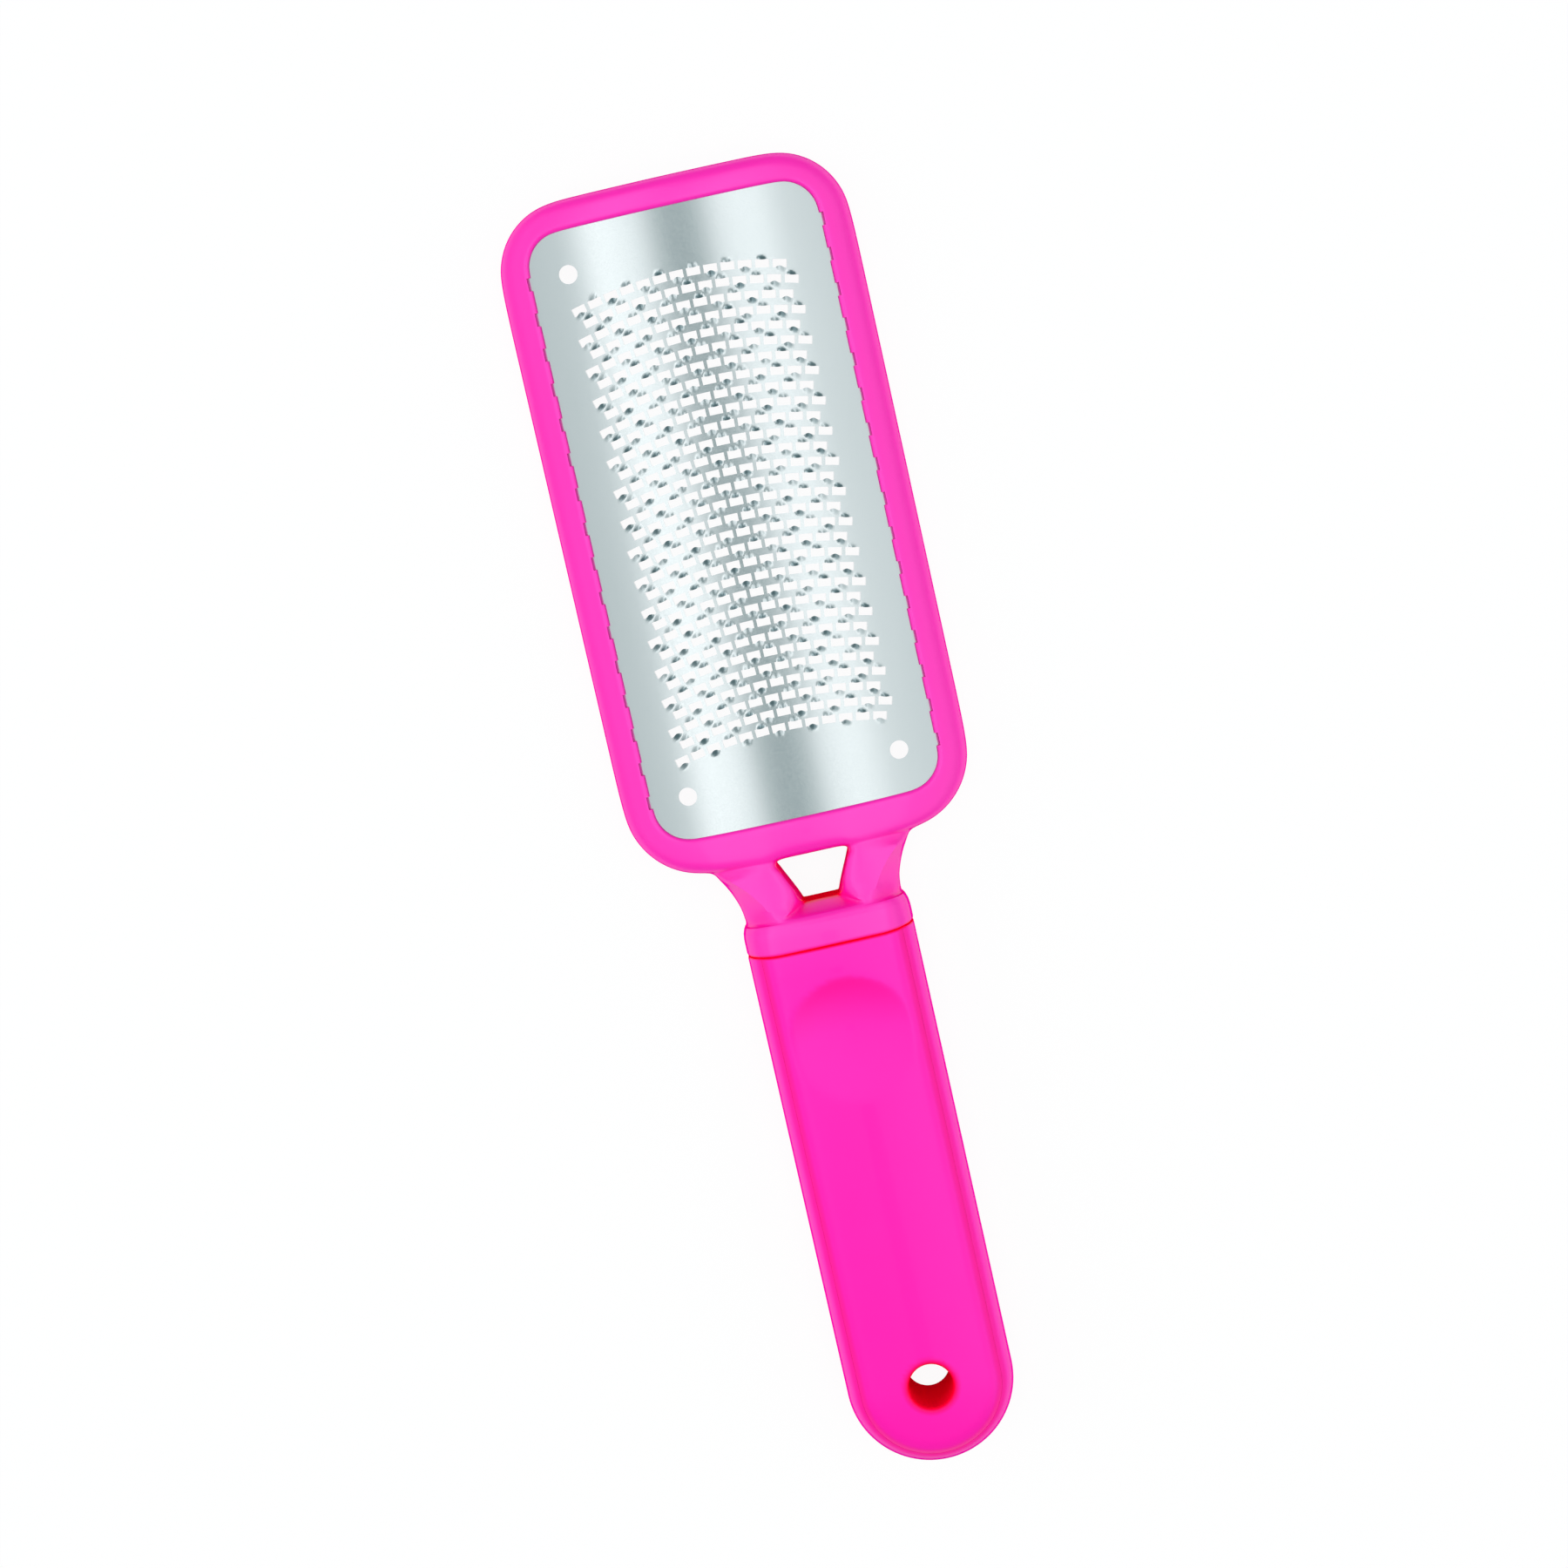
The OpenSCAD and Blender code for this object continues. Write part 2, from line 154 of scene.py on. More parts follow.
def floor_material():
    """White paper: a diffuse floor for light, mostly an even white for the eye."""
    material = bpy.data.materials.new("paper_floor")
    material.use_nodes = True
    tree = material.node_tree
    nodes, links = tree.nodes, tree.links
    nodes.remove(nodes["Principled BSDF"])
    diffuse = nodes.new("ShaderNodeBsdfDiffuse")
    diffuse.inputs["Color"].default_value = FLOOR_GREY
    glow = nodes.new("ShaderNodeEmission")
    glow.inputs["Color"].default_value = WHITE
    path = nodes.new("ShaderNodeLightPath")
    seen = path.outputs["Is Camera Ray"]
    for ray in ("Is Glossy Ray", "Is Transmission Ray"):
        seen = combined(tree, "ADD", seen, path.outputs[ray], clamp=True)
    share = nodes.new("ShaderNodeMath")
    share.operation = "MULTIPLY"
    share.inputs[1].default_value = FLOOR_GLOW
    links.new(seen, share.inputs[0])
    mix = nodes.new("ShaderNodeMixShader")
    links.new(share.outputs[0], mix.inputs["Fac"])
    links.new(diffuse.outputs["BSDF"], mix.inputs[1])
    links.new(glow.outputs["Emission"], mix.inputs[2])
    links.new(mix.outputs["Shader"], nodes["Material Output"].inputs["Surface"])
    return material


bm = bmesh.new()
bmesh.ops.create_grid(bm, x_segments=1, y_segments=1, size=FLOOR_SIZE / 2)
floor_mesh = bpy.data.meshes.new("floor")
bm.to_mesh(floor_mesh)
bm.free()
floor_mesh.transform(Matrix.Translation((0, 0, -FLOOR_DROP * MM)))
floor = bpy.data.objects.new("floor", floor_mesh)
floor_mesh.materials.append(floor_material())
bpy.context.scene.collection.objects.link(floor)

# %% [markdown]
# ## Finishes
# Every plastic piece is one injection moulding in the same hot pink, so they share one node group: a very
# fine leathery texture from the mould, a slow drift of the colour, and a mask for creases. Light that
# bounces about in a crease loses its blue first, so creases are painted from pink to red: painted shade
# and bounce light. Ambient occlusion finds the fine creases. Deep places, such as the hanging hole and the
# seam, are written into an attribute of the piece named bounced, because the builder of the piece knows
# where they lie; the same attribute holds painted shade in the handle's groove and on the dimple's head
# side. The sheen is tinted like the plastic and fades where the skin turns away, so that the rims stay
# pink under the lamps. The steel is bright rolled sheet: fine streaks along the tool, a soft sheen, and
# darker teeth. Their dark is painted shade for the dim surroundings that the teeth's slopes reflect, and
# partly the duller drawn metal.
# Its node group is wired like the plastic's, so one function builds both.


# %% Helpers for shader nodes
def noise(group, coordinates, stretch, detail, rough=0.5):
    """A noise texture on the piece's own coordinates, with its own scale along each axis, per metre."""
    mapping = group.nodes.new("ShaderNodeMapping")
    mapping.inputs["Scale"].default_value = stretch
    group.links.new(coordinates, mapping.inputs["Vector"])
    texture = group.nodes.new("ShaderNodeTexNoise")
    texture.inputs["Scale"].default_value = 1
    texture.inputs["Detail"].default_value = detail
    texture.inputs["Roughness"].default_value = rough
    group.links.new(mapping.outputs["Vector"], texture.inputs["Vector"])
    return texture.outputs["Fac"]


def spread(group, value, low, high, into_low, into_high):
    """Maps a value from one range onto another, clamped."""
    node = group.nodes.new("ShaderNodeMapRange")
    node.inputs["From Min"].default_value = low
    node.inputs["From Max"].default_value = high
    node.inputs["To Min"].default_value = into_low
    node.inputs["To Max"].default_value = into_high
    group.links.new(value, node.inputs["Value"])
    return node.outputs["Result"]


def mix_colours(group, factor, first, second):
    """One colour at factor 0 and the other at factor 1."""
    node = group.nodes.new("ShaderNodeMix")
    node.data_type = "RGBA"
    group.links.new(factor, node.inputs["Factor"])
    group.links.new(first, node.inputs["A"])
    group.links.new(second, node.inputs["B"])
    return node.outputs["Result"]


# %% Shader node groups
COLOUR, VALUE = "NodeSocketColor", "NodeSocketFloat"
COLOUR_DRIFT = (0.0, 0.06)


def skin_group(name, mask, drift, flecks, grain, contrast, uneven):
    """A node group that puts out the colour, roughness and height of a skin. A slow drift adds a
    little to the mask, which brings in the mask's own colour, and flecks make the roughness uneven."""
    group = bpy.data.node_groups.new(name, "ShaderNodeTree")
    sockets = {
        "INPUT": {"Colour": COLOUR, mask + " colour": COLOUR, mask: VALUE, "Roughness": VALUE},
        "OUTPUT": {"Colour": COLOUR, "Roughness": VALUE, "Height": VALUE},
    }
    for way, kinds in sockets.items():
        for label, kind in kinds.items():
            group.interface.new_socket(name=label, in_out=way, socket_type=kind)
    given = group.nodes.new("NodeGroupInput").outputs
    place = group.nodes.new("ShaderNodeTexCoord").outputs["Object"]
    drifted = spread(group, noise(group, place, *drift), *contrast, *COLOUR_DRIFT)
    flecked = spread(group, noise(group, place, *flecks), *contrast, *uneven)
    share = combined(group, "ADD", given[mask], drifted, clamp=True)
    made = {
        "Colour": mix_colours(group, share, given["Colour"], given[mask + " colour"]),
        "Roughness": combined(group, "ADD", given["Roughness"], flecked),
        "Height": noise(group, place, *grain),
    }
    out = group.nodes.new("NodeGroupOutput").inputs
    for label, value in made.items():
        group.links.new(value, out[label])
    return group


# each noise has its scale along the three axes, its detail and sometimes its roughness
plastic_group = skin_group(
    "moulded_skin", mask="Crease", drift=((28, 28, 28), 2), flecks=((160, 160, 160), 2),
    grain=((2400, 2400, 2400), 2), contrast=(0.2, 0.8), uneven=(-0.015, 0.015),
)
steel_group = skin_group(
    "rolled_sheet", mask="Shade", drift=((60, 14, 60), 3), flecks=((3000, 3000, 3000), 2),
    grain=((5200, 90, 5200), 3, 0.6), contrast=(0.3, 0.7), uneven=(-0.02, 0.03),
)

# %% Materials
BUMP_DEPTH = 0.02
CREASE_OPEN, CREASE_CLOSED = 1.0, 0.3
RIM_START, RIM_END = 0.28, 0.7
MASK_INPUT = 2


def skin_material(
    name, group, values, metallic, bump, crease_size, crease_power, mark,
    ior=1.45, gloss=0.5, dulled=0, tint=WHITE,
):
    """A Principled material fed by a skin group. Its mask comes from ambient occlusion, which finds
    creases, and from a float attribute of the piece. Dulled is how much of the sheen is lost there
    and where the skin turns away."""
    material = bpy.data.materials.new(name)
    material.use_nodes = True
    tree = material.node_tree
    shader = tree.nodes["Principled BSDF"]
    shader.inputs["Metallic"].default_value = metallic
    shader.inputs["IOR"].default_value = ior
    shader.inputs["Specular Tint"].default_value = tint
    shader.inputs["Specular IOR Level"].default_value = gloss
    skin = tree.nodes.new("ShaderNodeGroup")
    skin.node_tree = group
    for label, value in values.items():
        skin.inputs[label].default_value = value
    creases = tree.nodes.new("ShaderNodeAmbientOcclusion")
    creases.inputs["Distance"].default_value = crease_size * MM
    creases.samples = 8
    creased = spread(tree, creases.outputs["AO"], CREASE_OPEN, CREASE_CLOSED, 0.0, crease_power)
    marked = tree.nodes.new("ShaderNodeAttribute")
    marked.attribute_name = mark
    both = combined(tree, "ADD", creased, marked.outputs["Fac"], clamp=True)
    tree.links.new(both, skin.inputs[MASK_INPUT])
    facing = tree.nodes.new("ShaderNodeLayerWeight").outputs["Facing"]
    rim = spread(tree, facing, RIM_START, RIM_END, 0.0, dulled)
    dimmed = combined(tree, "MAXIMUM", rim, spread(tree, both, 0.0, 1.0, 0.0, dulled))
    tree.links.new(spread(tree, dimmed, 0.0, 1.0, gloss, 0.0), shader.inputs["Specular IOR Level"])
    tree.links.new(skin.outputs["Colour"], shader.inputs["Base Color"])
    tree.links.new(skin.outputs["Roughness"], shader.inputs["Roughness"])
    lift = tree.nodes.new("ShaderNodeBump")
    lift.inputs["Strength"].default_value = bump
    lift.inputs["Distance"].default_value = BUMP_DEPTH * MM
    tree.links.new(skin.outputs["Height"], lift.inputs["Height"])
    tree.links.new(lift.outputs["Normal"], shader.inputs["Normal"])
    return material


BOUNCED_RED = (1.0, 0.0, 0.03, 1)


def hot_pink(name, green, blue, sheen_green, gloss, bump):
    """One of the tool's pinks. Below a roughness of 0.3 the renderer draws false contours on it."""
    return skin_material(
        name, plastic_group,
        {"Colour": (1.0, green, blue, 1), "Crease colour": BOUNCED_RED, "Roughness": 0.30},
        metallic=0, bump=bump, crease_size=3.5, crease_power=0.6, mark="bounced", ior=1.7,
        gloss=gloss, dulled=1.0, tint=(1.0, sheen_green, 1.0, 1),
    )


frame_pink = hot_pink("frame_pink", 0.006, 0.43, sheen_green=0.47, gloss=1.0, bump=0.2)
handle_pink = hot_pink("handle_pink", 0.005, 0.43, sheen_green=0.29, gloss=0.8, bump=0.2)
grip_pink = hot_pink("grip_pink", 0.003, 0.395, sheen_green=0.27, gloss=0.8, bump=0.3)
# The Shade colour of both steels is painted shade: in creases through ambient occlusion, and on the
# plate's teeth through the attribute drawn, which stands partly for duller drawn metal.
sheet_steel = skin_material(
    "sheet_steel", steel_group,
    {"Colour": (0.87, 0.88, 0.885, 1), "Shade colour": (0.27, 0.36, 0.385, 1), "Roughness": 0.23},
    metallic=1, bump=0.05, crease_size=1.5, crease_power=0.08, mark="drawn", ior=2.5,
)
screw_zinc = skin_material(
    "screw_zinc", steel_group,
    {"Colour": (0.72, 0.73, 0.70, 1), "Shade colour": (0.42, 0.42, 0.38, 1), "Roughness": 0.38},
    metallic=1, bump=0.1, crease_size=1, crease_power=0.6, mark="drawn", ior=2.5,
)

# %% [markdown]
# ## Helpers for the pieces
# A piece is modelled in a bmesh, in millimetres. Modifiers that finish it are applied straight away, so
# that later steps can work on the result. The last helper scales it to metres, marks the sharp edges and
# ties it to the frame.


# %% Helpers
WELD = 0.001


def draft(name, bm):
    """Puts a bmesh, still in millimetres, into a new object."""
    mesh = bpy.data.meshes.new(name)
    bm.to_mesh(mesh)
    bm.free()
    piece = bpy.data.objects.new(name, mesh)
    bpy.context.scene.collection.objects.link(piece)
    return piece


def apply_modifiers(piece):
    """Replaces the piece's mesh by what its modifiers make of it."""
    shape = bpy.data.meshes.new_from_object(
        piece.evaluated_get(bpy.context.evaluated_depsgraph_get())
    )
    piece.modifiers.clear()
    piece.data = shape


def carve(piece, bm):
    """Cuts the closed bodies of a bmesh, in millimetres, out of the piece."""
    bmesh.ops.recalc_face_normals(bm, faces=bm.faces[:])
    cutter = draft("cutter", bm)
    cut = piece.modifiers.new("cut", "BOOLEAN")
    cut.operation = "DIFFERENCE"
    cut.solver = "EXACT"
    cut.object = cutter
    bpy.context.view_layer.update()
    apply_modifiers(piece)
    bpy.data.objects.remove(cutter)


def finish_piece(piece, node, material, sharp_angle=38):
    """Scales the piece to metres, shades it and lets it stand for its node of the frame."""
    mesh = piece.data
    mesh.transform(Matrix.Scale(MM, 4))
    mesh.polygons.foreach_set("use_smooth", [True] * len(mesh.polygons))
    mesh.set_sharp_from_angle(angle=math.radians(sharp_angle))
    mesh.materials.clear()
    mesh.materials.append(material)
    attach(piece, "root")
    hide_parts(node)
    faces = sum(len(p.vertices) - 2 for p in mesh.polygons)
    print(piece.name, "stands for", node, "with", faces, "triangles")


def arc(centre, radius, start, end, steps):
    """Points on an arc from one angle to another, in degrees, both ends included."""
    turns = [math.radians(start + (end - start) * i / steps) for i in range(steps + 1)]
    return [(centre[0] + radius * math.cos(t), centre[1] + radius * math.sin(t)) for t in turns]


def chain(bm, points):
    """A chain of vertices joined by edges, in the order of the points."""
    verts = [bm.verts.new(p) for p in points]
    edges = [bm.edges.new(pair) for pair in zip(verts, verts[1:])]
    return verts, edges


# %% [markdown]
# ## Rasp plate
# The real plate is one stamped sheet: a press punches 403 openings in bowed rows and pushes a small hood
# of metal up beside each, first on the head side, then on the butt side. One flat grid is enough for
# this, if its lines run along every opening's edges and along the teeth. Each row is offset by half a
# pitch, so the lines repeat every half pitch and serve all rows. The opening faces are deleted, the teeth
# are pulled up, and only then is the sheet bowed, trimmed and bent over the arch. The three locating holes
# are cut last, from the finished sheet, because the grid has no lines round them. Each tooth also gets a
# dark spot in the attribute drawn: painted shade for the dim surroundings that its slopes reflect, and
# partly the duller drawn metal. No two teeth of the real plate catch the light alike, so their height and
# their spot of painted shade change from one to the next. The solid of the imported model has no teeth, so
# this piece stands for it.

# %% Sizes of the head
head_low, head_high = node_box("head_frame")
HEAD_L = 136.6
CROWN_Z = 15.0
ARCH_R = 95.0
FRAME_T = 9.8
SIDE_LIP, END_LIP, NECK_LIP = 6.2, 6.0, 7.7
WINDOW_R = 7.0
TOP_CORNER_R, NECK_CORNER_R = 14.0, 15.0
arch_axis_z = CROWN_Z - ARCH_R
head_x, head_end_y = head_high.x, head_high.y
neck_y = head_end_y - HEAD_L
window_x = head_x - SIDE_LIP
window_top_y = head_end_y - END_LIP
window_low_y = neck_y + NECK_LIP
print("window in mm:", round(2 * window_x, 2), "x", round(window_top_y - window_low_y, 2))

# %% Sizes of the plate
plate_low, plate_high = node_box("rasp_plate")
PLATE_T = 0.5
LIP_T = 0.8
PLATE_CORNER_R = 9.2
ROW_N, ROW_PITCH = 31, 3.04
COLUMN_N, COLUMN_PITCH = 13, 3.37
ROW_BOW_R = 90.0
FIRST_ROW = 13.4
OPENING_L, OPENING_W = 2.7, 1.6
PILOT_D, PILOT_X, PILOT_Y = 3.7, 21.6, 8.6
SIDE_MARGIN_N, END_MARGIN_N = 5, 8

half_pitch = COLUMN_PITCH / 2
half_row = ROW_PITCH / 2
plate_x = plate_high.x
first_row_y = window_top_y - FIRST_ROW


def even(start, end, count):
    """Evenly spaced lines from start, which is left out, to end."""
    return [start + (end - start) * (i + 1) / count for i in range(count)]


bridge = half_pitch - OPENING_L / 2
field_x = (2 * COLUMN_N + 1) * half_pitch / 2
inner_steps = [bridge + (half_pitch - 2 * bridge) * i / 4 for i in range(5)]
CELL_N = len(inner_steps) + 1
lines_x = [-field_x + k * half_pitch + s for k in range(2 * COLUMN_N + 1) for s in [0] + inner_steps]
lines_x = [-x for x in reversed(even(field_x, plate_x, SIDE_MARGIN_N))] + lines_x + [field_x]
lines_x += even(field_x, plate_x, SIDE_MARGIN_N)

edge = OPENING_W / 2
between = (edge + half_row) / 2
field_top_y = first_row_y + half_row
field_low_y = first_row_y - ROW_N * ROW_PITCH + half_row
slope = (half_row - between, half_row - edge)
lines_y = list(reversed(even(field_top_y + slope[1], plate_high.y, END_MARGIN_N)))
lines_y += [field_top_y + slope[1], field_top_y + slope[0]]
TOP_MARGIN_N = len(lines_y)
row_lines = (half_row, between, edge, -edge, -between)
LINE_N = len(row_lines)
for row in range(ROW_N):
    lines_y += [first_row_y - row * ROW_PITCH + d for d in row_lines]
lines_y += [field_low_y, field_low_y - slope[0], field_low_y - slope[1]]
lines_y += even(field_low_y - slope[1], plate_low.y, END_MARGIN_N)
print("grid of", len(lines_x), "x", len(lines_y), "lines")

# %% Punch the openings and raise the teeth
TOOTH_H, TOOTH_HALF_W, TOOTH_ROUND = 0.4, 0.92, 1.5
TOOTH_RISE = (1, 0.52, 0.12, 0.0)
TOOTH_LEAN = {True: 0.36, False: 0.1}
LEAN_FADE = 0.6
HEIGHT_MEAN, HEIGHT_SWING = 0.76, 0.24
SPOT_AWAY, SPOT_HALF_W, SPOT_HALF_L = 0.3, 0.9, 0.55
SPOT_MEAN, SPOT_SWING = 0.58, 0.37
ROW_PHASE, COLUMN_PHASE = 2.3, 4.1

bm = bmesh.new()
bmesh.ops.create_grid(bm, x_segments=len(lines_x) - 1, y_segments=len(lines_y) - 1, size=1)
# the attribute drawn holds painted shade on the teeth, for the dim surroundings they reflect, and partly
# duller drawn metal
tooth_shade_of = bm.verts.layers.float.new("drawn")
crossing = {}
for v in bm.verts:
    i = round((v.co.x + 1) / 2 * (len(lines_x) - 1))
    j = round((1 - v.co.y) / 2 * (len(lines_y) - 1))
    v.co = (lines_x[i], lines_y[j], 0)
    crossing[i, j] = v

opened = []
for row in range(ROW_N):
    top = TOP_MARGIN_N + LINE_N * row
    for column in range(COLUMN_N):
        middle = SIDE_MARGIN_N + CELL_N * (2 * column + row % 2 + 1)
        for i in range(1 - CELL_N, CELL_N - 1):
            shared = set(crossing[middle + i, top + 2].link_faces)
            shared &= set(crossing[middle + i + 1, top + 3].link_faces)
            opened += list(shared)
        towards_butt = (row + column) % 2 == 0
        strength = math.sin(ROW_PHASE * row + COLUMN_PHASE * column)
        height = TOOTH_H * (HEIGHT_MEAN + HEIGHT_SWING * strength)
        # how dark this tooth's ellipse of painted shade beside its opening is
        spot = SPOT_MEAN + SPOT_SWING * strength
        for step, rise in enumerate(TOOTH_RISE):
            line = top + 3 + step if towards_butt else top + 2 - step
            for i in range(2 - CELL_N, CELL_N - 1):
                v = crossing[middle + i, line]
                away = abs(v.co.x - lines_x[middle])
                across = math.cos(min(1, away / TOOTH_HALF_W) * math.pi / 2) ** TOOTH_ROUND
                v.co.z = max(v.co.z, height * rise * across)
                beyond = abs(lines_y[line] - lines_y[top + 2 + towards_butt]) - SPOT_AWAY
                dimmed = 1 - (away / SPOT_HALF_W) ** 2 - (beyond / SPOT_HALF_L) ** 2
                v[tooth_shade_of] = max(v[tooth_shade_of], spot * min(1, 2 * dimmed))
                if step < 2:
                    lean = TOOTH_LEAN[towards_butt] * (1 - LEAN_FADE * step) * across
                    v.co.y += lean if towards_butt else -lean

# %% Bow the rows
SHEAR = {0: 0, 1: 0.5, 2: 1, 3: -1, 4: -0.5}
field_end = TOP_MARGIN_N + LINE_N * ROW_N
for (i, j), v in crossing.items():
    x, y = v.co.x, v.co.y
    bow = ROW_BOW_R - math.sqrt(ROW_BOW_R**2 - x * x)
    if y > field_top_y:
        bow *= (plate_high.y - y) / (plate_high.y - field_top_y)
    if y < field_low_y:
        bow *= (y - plate_low.y) / (field_low_y - plate_low.y)
    if TOP_MARGIN_N < j < field_end and abs(x) < field_x:
        v.co.x += SHEAR[(j - TOP_MARGIN_N) % LINE_N] * edge * x / ROW_BOW_R
    v.co.y -= bow
bmesh.ops.delete(bm, geom=list(set(opened)), context="FACES")


# %% Rounded corners
CORNER_CUTS = 8
for sx in (-1, 1):
    for sy, end_y in ((1, plate_high.y), (-1, plate_low.y)):
        centre = Vector((sx * (plate_x - PLATE_CORNER_R), end_y - sy * PLATE_CORNER_R, 0))
        for k in range(CORNER_CUTS):
            turn = math.radians(90 * (k + 0.5) / CORNER_CUTS)
            way = Vector((sx * math.cos(turn), sy * math.sin(turn), 0))
            bmesh.ops.bisect_plane(
                bm, geom=bm.verts[:] + bm.edges[:] + bm.faces[:], dist=1e-5,
                plane_co=centre + way * PLATE_CORNER_R, plane_no=way, clear_outer=True,
            )

# %% Thickness, arch and the three locating holes
under = bmesh.ops.extrude_face_region(bm, geom=bm.faces[:])["geom"]
for v in under:
    if isinstance(v, bmesh.types.BMVert):
        v.co.z -= PLATE_T

sheet_r = ARCH_R - LIP_T
for v in bm.verts:
    x, y, rise = v.co
    grown = (sheet_r + rise) / sheet_r
    v.co = (x * grown, y, arch_axis_z + math.sqrt(sheet_r**2 - x * x) * grown)
bmesh.ops.recalc_face_normals(bm, faces=bm.faces[:])
rasp_plate = draft("stamped_plate", bm)

bm = bmesh.new()
head_hole_y, neck_hole_y = window_top_y - PILOT_Y, window_low_y + PILOT_Y
for x, y in ((-PILOT_X, head_hole_y), (-PILOT_X, neck_hole_y), (PILOT_X, neck_hole_y)):
    bmesh.ops.create_cone(
        bm, cap_ends=True, segments=40, radius1=PILOT_D / 2, radius2=PILOT_D / 2, depth=CROWN_Z,
        matrix=Matrix.Translation((x, y, CROWN_Z)),
    )
carve(rasp_plate, bm)
finish_piece(rasp_plate, "rasp_plate", sheet_steel, sharp_angle=50)
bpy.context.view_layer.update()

# %% [markdown]
# ## Head frame
# On the real tool this is one moulding: the arched ring that holds the plate, two struts, a collar and
# the tang inside the handle. It is modelled as a coarse cage under a subdivision surface, because that
# gives the soft blends of a moulding. One section of the ring is written as a list, and a chain of
# vertices that follows the outline is extruded from each point of the section to the next. Every vertex
# remembers its station along the outline and its row in the section, so that the struts can be pulled out
# of the right faces later.


# %% Sections and outlines of the frame
def front_z(x):
    """Height of the arched front of the head at x."""
    return arch_axis_z + math.sqrt(ARCH_R**2 - x * x)


def back_z(x):
    """Height of the hollow back of the head at x, flat where it meets the table."""
    return max(0, arch_axis_z + math.sqrt((ARCH_R - FRAME_T) ** 2 - x * x))


NECK_SHARES = (0.935, 0.42, 0.351, 0.176, 0)
BAR_SHARES = (0, 0.25, 0.5, 0.75)
CORNER_STEPS = 5
SIDE_STEPS = 8


def half_outline(x, top, low, top_r, low_r):
    """Right half of a rounded outline, from the middle of the head end to the middle of the neck end."""
    points = [(share * (x - top_r), top) for share in BAR_SHARES]
    points += arc((x - top_r, top - top_r), top_r, 90, 0, CORNER_STEPS)
    points += [(x, y) for y in even(top - top_r, low + low_r, SIDE_STEPS)[:-1]]
    points += arc((x - low_r, low + low_r), low_r, 0, -90, CORNER_STEPS)
    points += [(share * (x - low_r), low) for share in NECK_SHARES]
    return points


def frame_outline(family, inset):
    """The outline of the head, inset from its silhouette, or that of the window, widened."""
    if family == "silhouette":
        return half_outline(
            head_x - inset, head_end_y - inset, neck_y + inset,
            TOP_CORNER_R - inset, NECK_CORNER_R - inset,
        )
    return half_outline(
        window_x + inset, window_top_y + inset, window_low_y - inset,
        WINDOW_R + inset, WINDOW_R + inset,
    )


GROOVE = 2.25
PLATE_SEAT = LIP_T + PLATE_T + 0.12
RING_SECTION = (
    # outline, inset from it, level that the height counts from, height, crease
    ("silhouette", 0.0, "below front", 3.8, 0),
    ("silhouette", 0.0, "below front", 2.3, 0),
    ("silhouette", 0.5, "below front", 0.85, 0),
    ("silhouette", 1.9, "below front", 0.12, 0),
    ("silhouette", 3.3, "below front", 0.0, 0),
    ("window", 1.2, "below front", 0.0, 0),
    ("window", 0.45, "below front", 0.12, 0),
    ("window", 0.0, "below front", 0.5, 0),
    ("window", 0.0, "below front", LIP_T, 1),
    ("window", GROOVE, "below front", LIP_T, 1),
    ("window", GROOVE, "below front", PLATE_SEAT, 1),
    ("window", 0.0, "below front", PLATE_SEAT, 1),
    ("window", 0.0, "above back", 0.9, 0),
    ("window", 0.3, "above back", 0.15, 0),
    ("window", 1.1, "above back", 0.0, 0),
    ("silhouette", 1.6, "above back", 0.0, 0),
    ("silhouette", 0.3, "above back", 0.3, 0),
    ("silhouette", 0.0, "above back", 1.7, 0),
    ("silhouette", 0.0, "below front", 5.7, 0),
)
TOP_ROW, LOW_ROW, MID_ROW = 0, len(RING_SECTION) - 2, len(RING_SECTION) - 1
EDGE_SPREAD = (0, 0.5, 0.7, 0)
station_n = len(frame_outline("silhouette", 0))
OUTER, RIDGE, FACE, INNER, MIDDLE = station_n - 6, station_n - 5, station_n - 4, station_n - 3, 99
ROUNDING_SHARE = {OUTER: 0.8, RIDGE: 0.25, FACE: 0.04, INNER: 0.3}


def section_place(row, station):
    """Where a vertex of the ring's cage lies."""
    family, inset, level, distance, crease = RING_SECTION[row]
    x, y = frame_outline(family, inset)[station]
    if row < len(EDGE_SPREAD):
        kept = ROUNDING_SHARE.get(station, 1)
        x, y = frame_outline(family, inset + (1 - kept) * EDGE_SPREAD[row])[station]
        distance *= kept
    return x, y, front_z(x) - distance if level == "below front" else back_z(x) + distance


# %% The ring's cage, right half
bm = bmesh.new()
station_of = bm.verts.layers.int.new("station")
row_of = bm.verts.layers.int.new("row")
step_of = bm.verts.layers.int.new("step")
crease_of = bm.edges.layers.float.new("crease_edge")
verts, edges = chain(bm, [section_place(0, station) for station in range(station_n)])
for station, v in enumerate(verts):
    v[station_of] = station
    v[row_of] = 0


def new_verts(geom):
    """The vertices in what an extrude operator returns."""
    return [g for g in geom if isinstance(g, bmesh.types.BMVert)]


for row in range(1, len(RING_SECTION) + 1):
    geom = bmesh.ops.extrude_edge_only(bm, edges=edges)["geom"]
    for v in new_verts(geom):
        v[row_of] = row % len(RING_SECTION)
        v.co = section_place(v[row_of], v[station_of])
    fresh = set(new_verts(geom))
    edges = [g for g in geom if isinstance(g, bmesh.types.BMEdge) and set(g.verts) <= fresh]
    for e in edges:
        e[crease_of] = RING_SECTION[row % len(RING_SECTION)][4]
bmesh.ops.remove_doubles(bm, verts=bm.verts[:], dist=WELD)
print("ring cage:", len(bm.faces), "faces in the right half")

# %% [markdown]
# The struts grow out of the ring's outer wall. At each step the patch of faces is extruded once more and
# laid on the strut's section there: an inner edge along the opening, a flat front that climbs towards the
# collar, a ridge, and a shoulder that falls to the outer side. The last step's inner faces are pulled to
# the middle, where they form the web that closes the opening, with the scoop on its front.

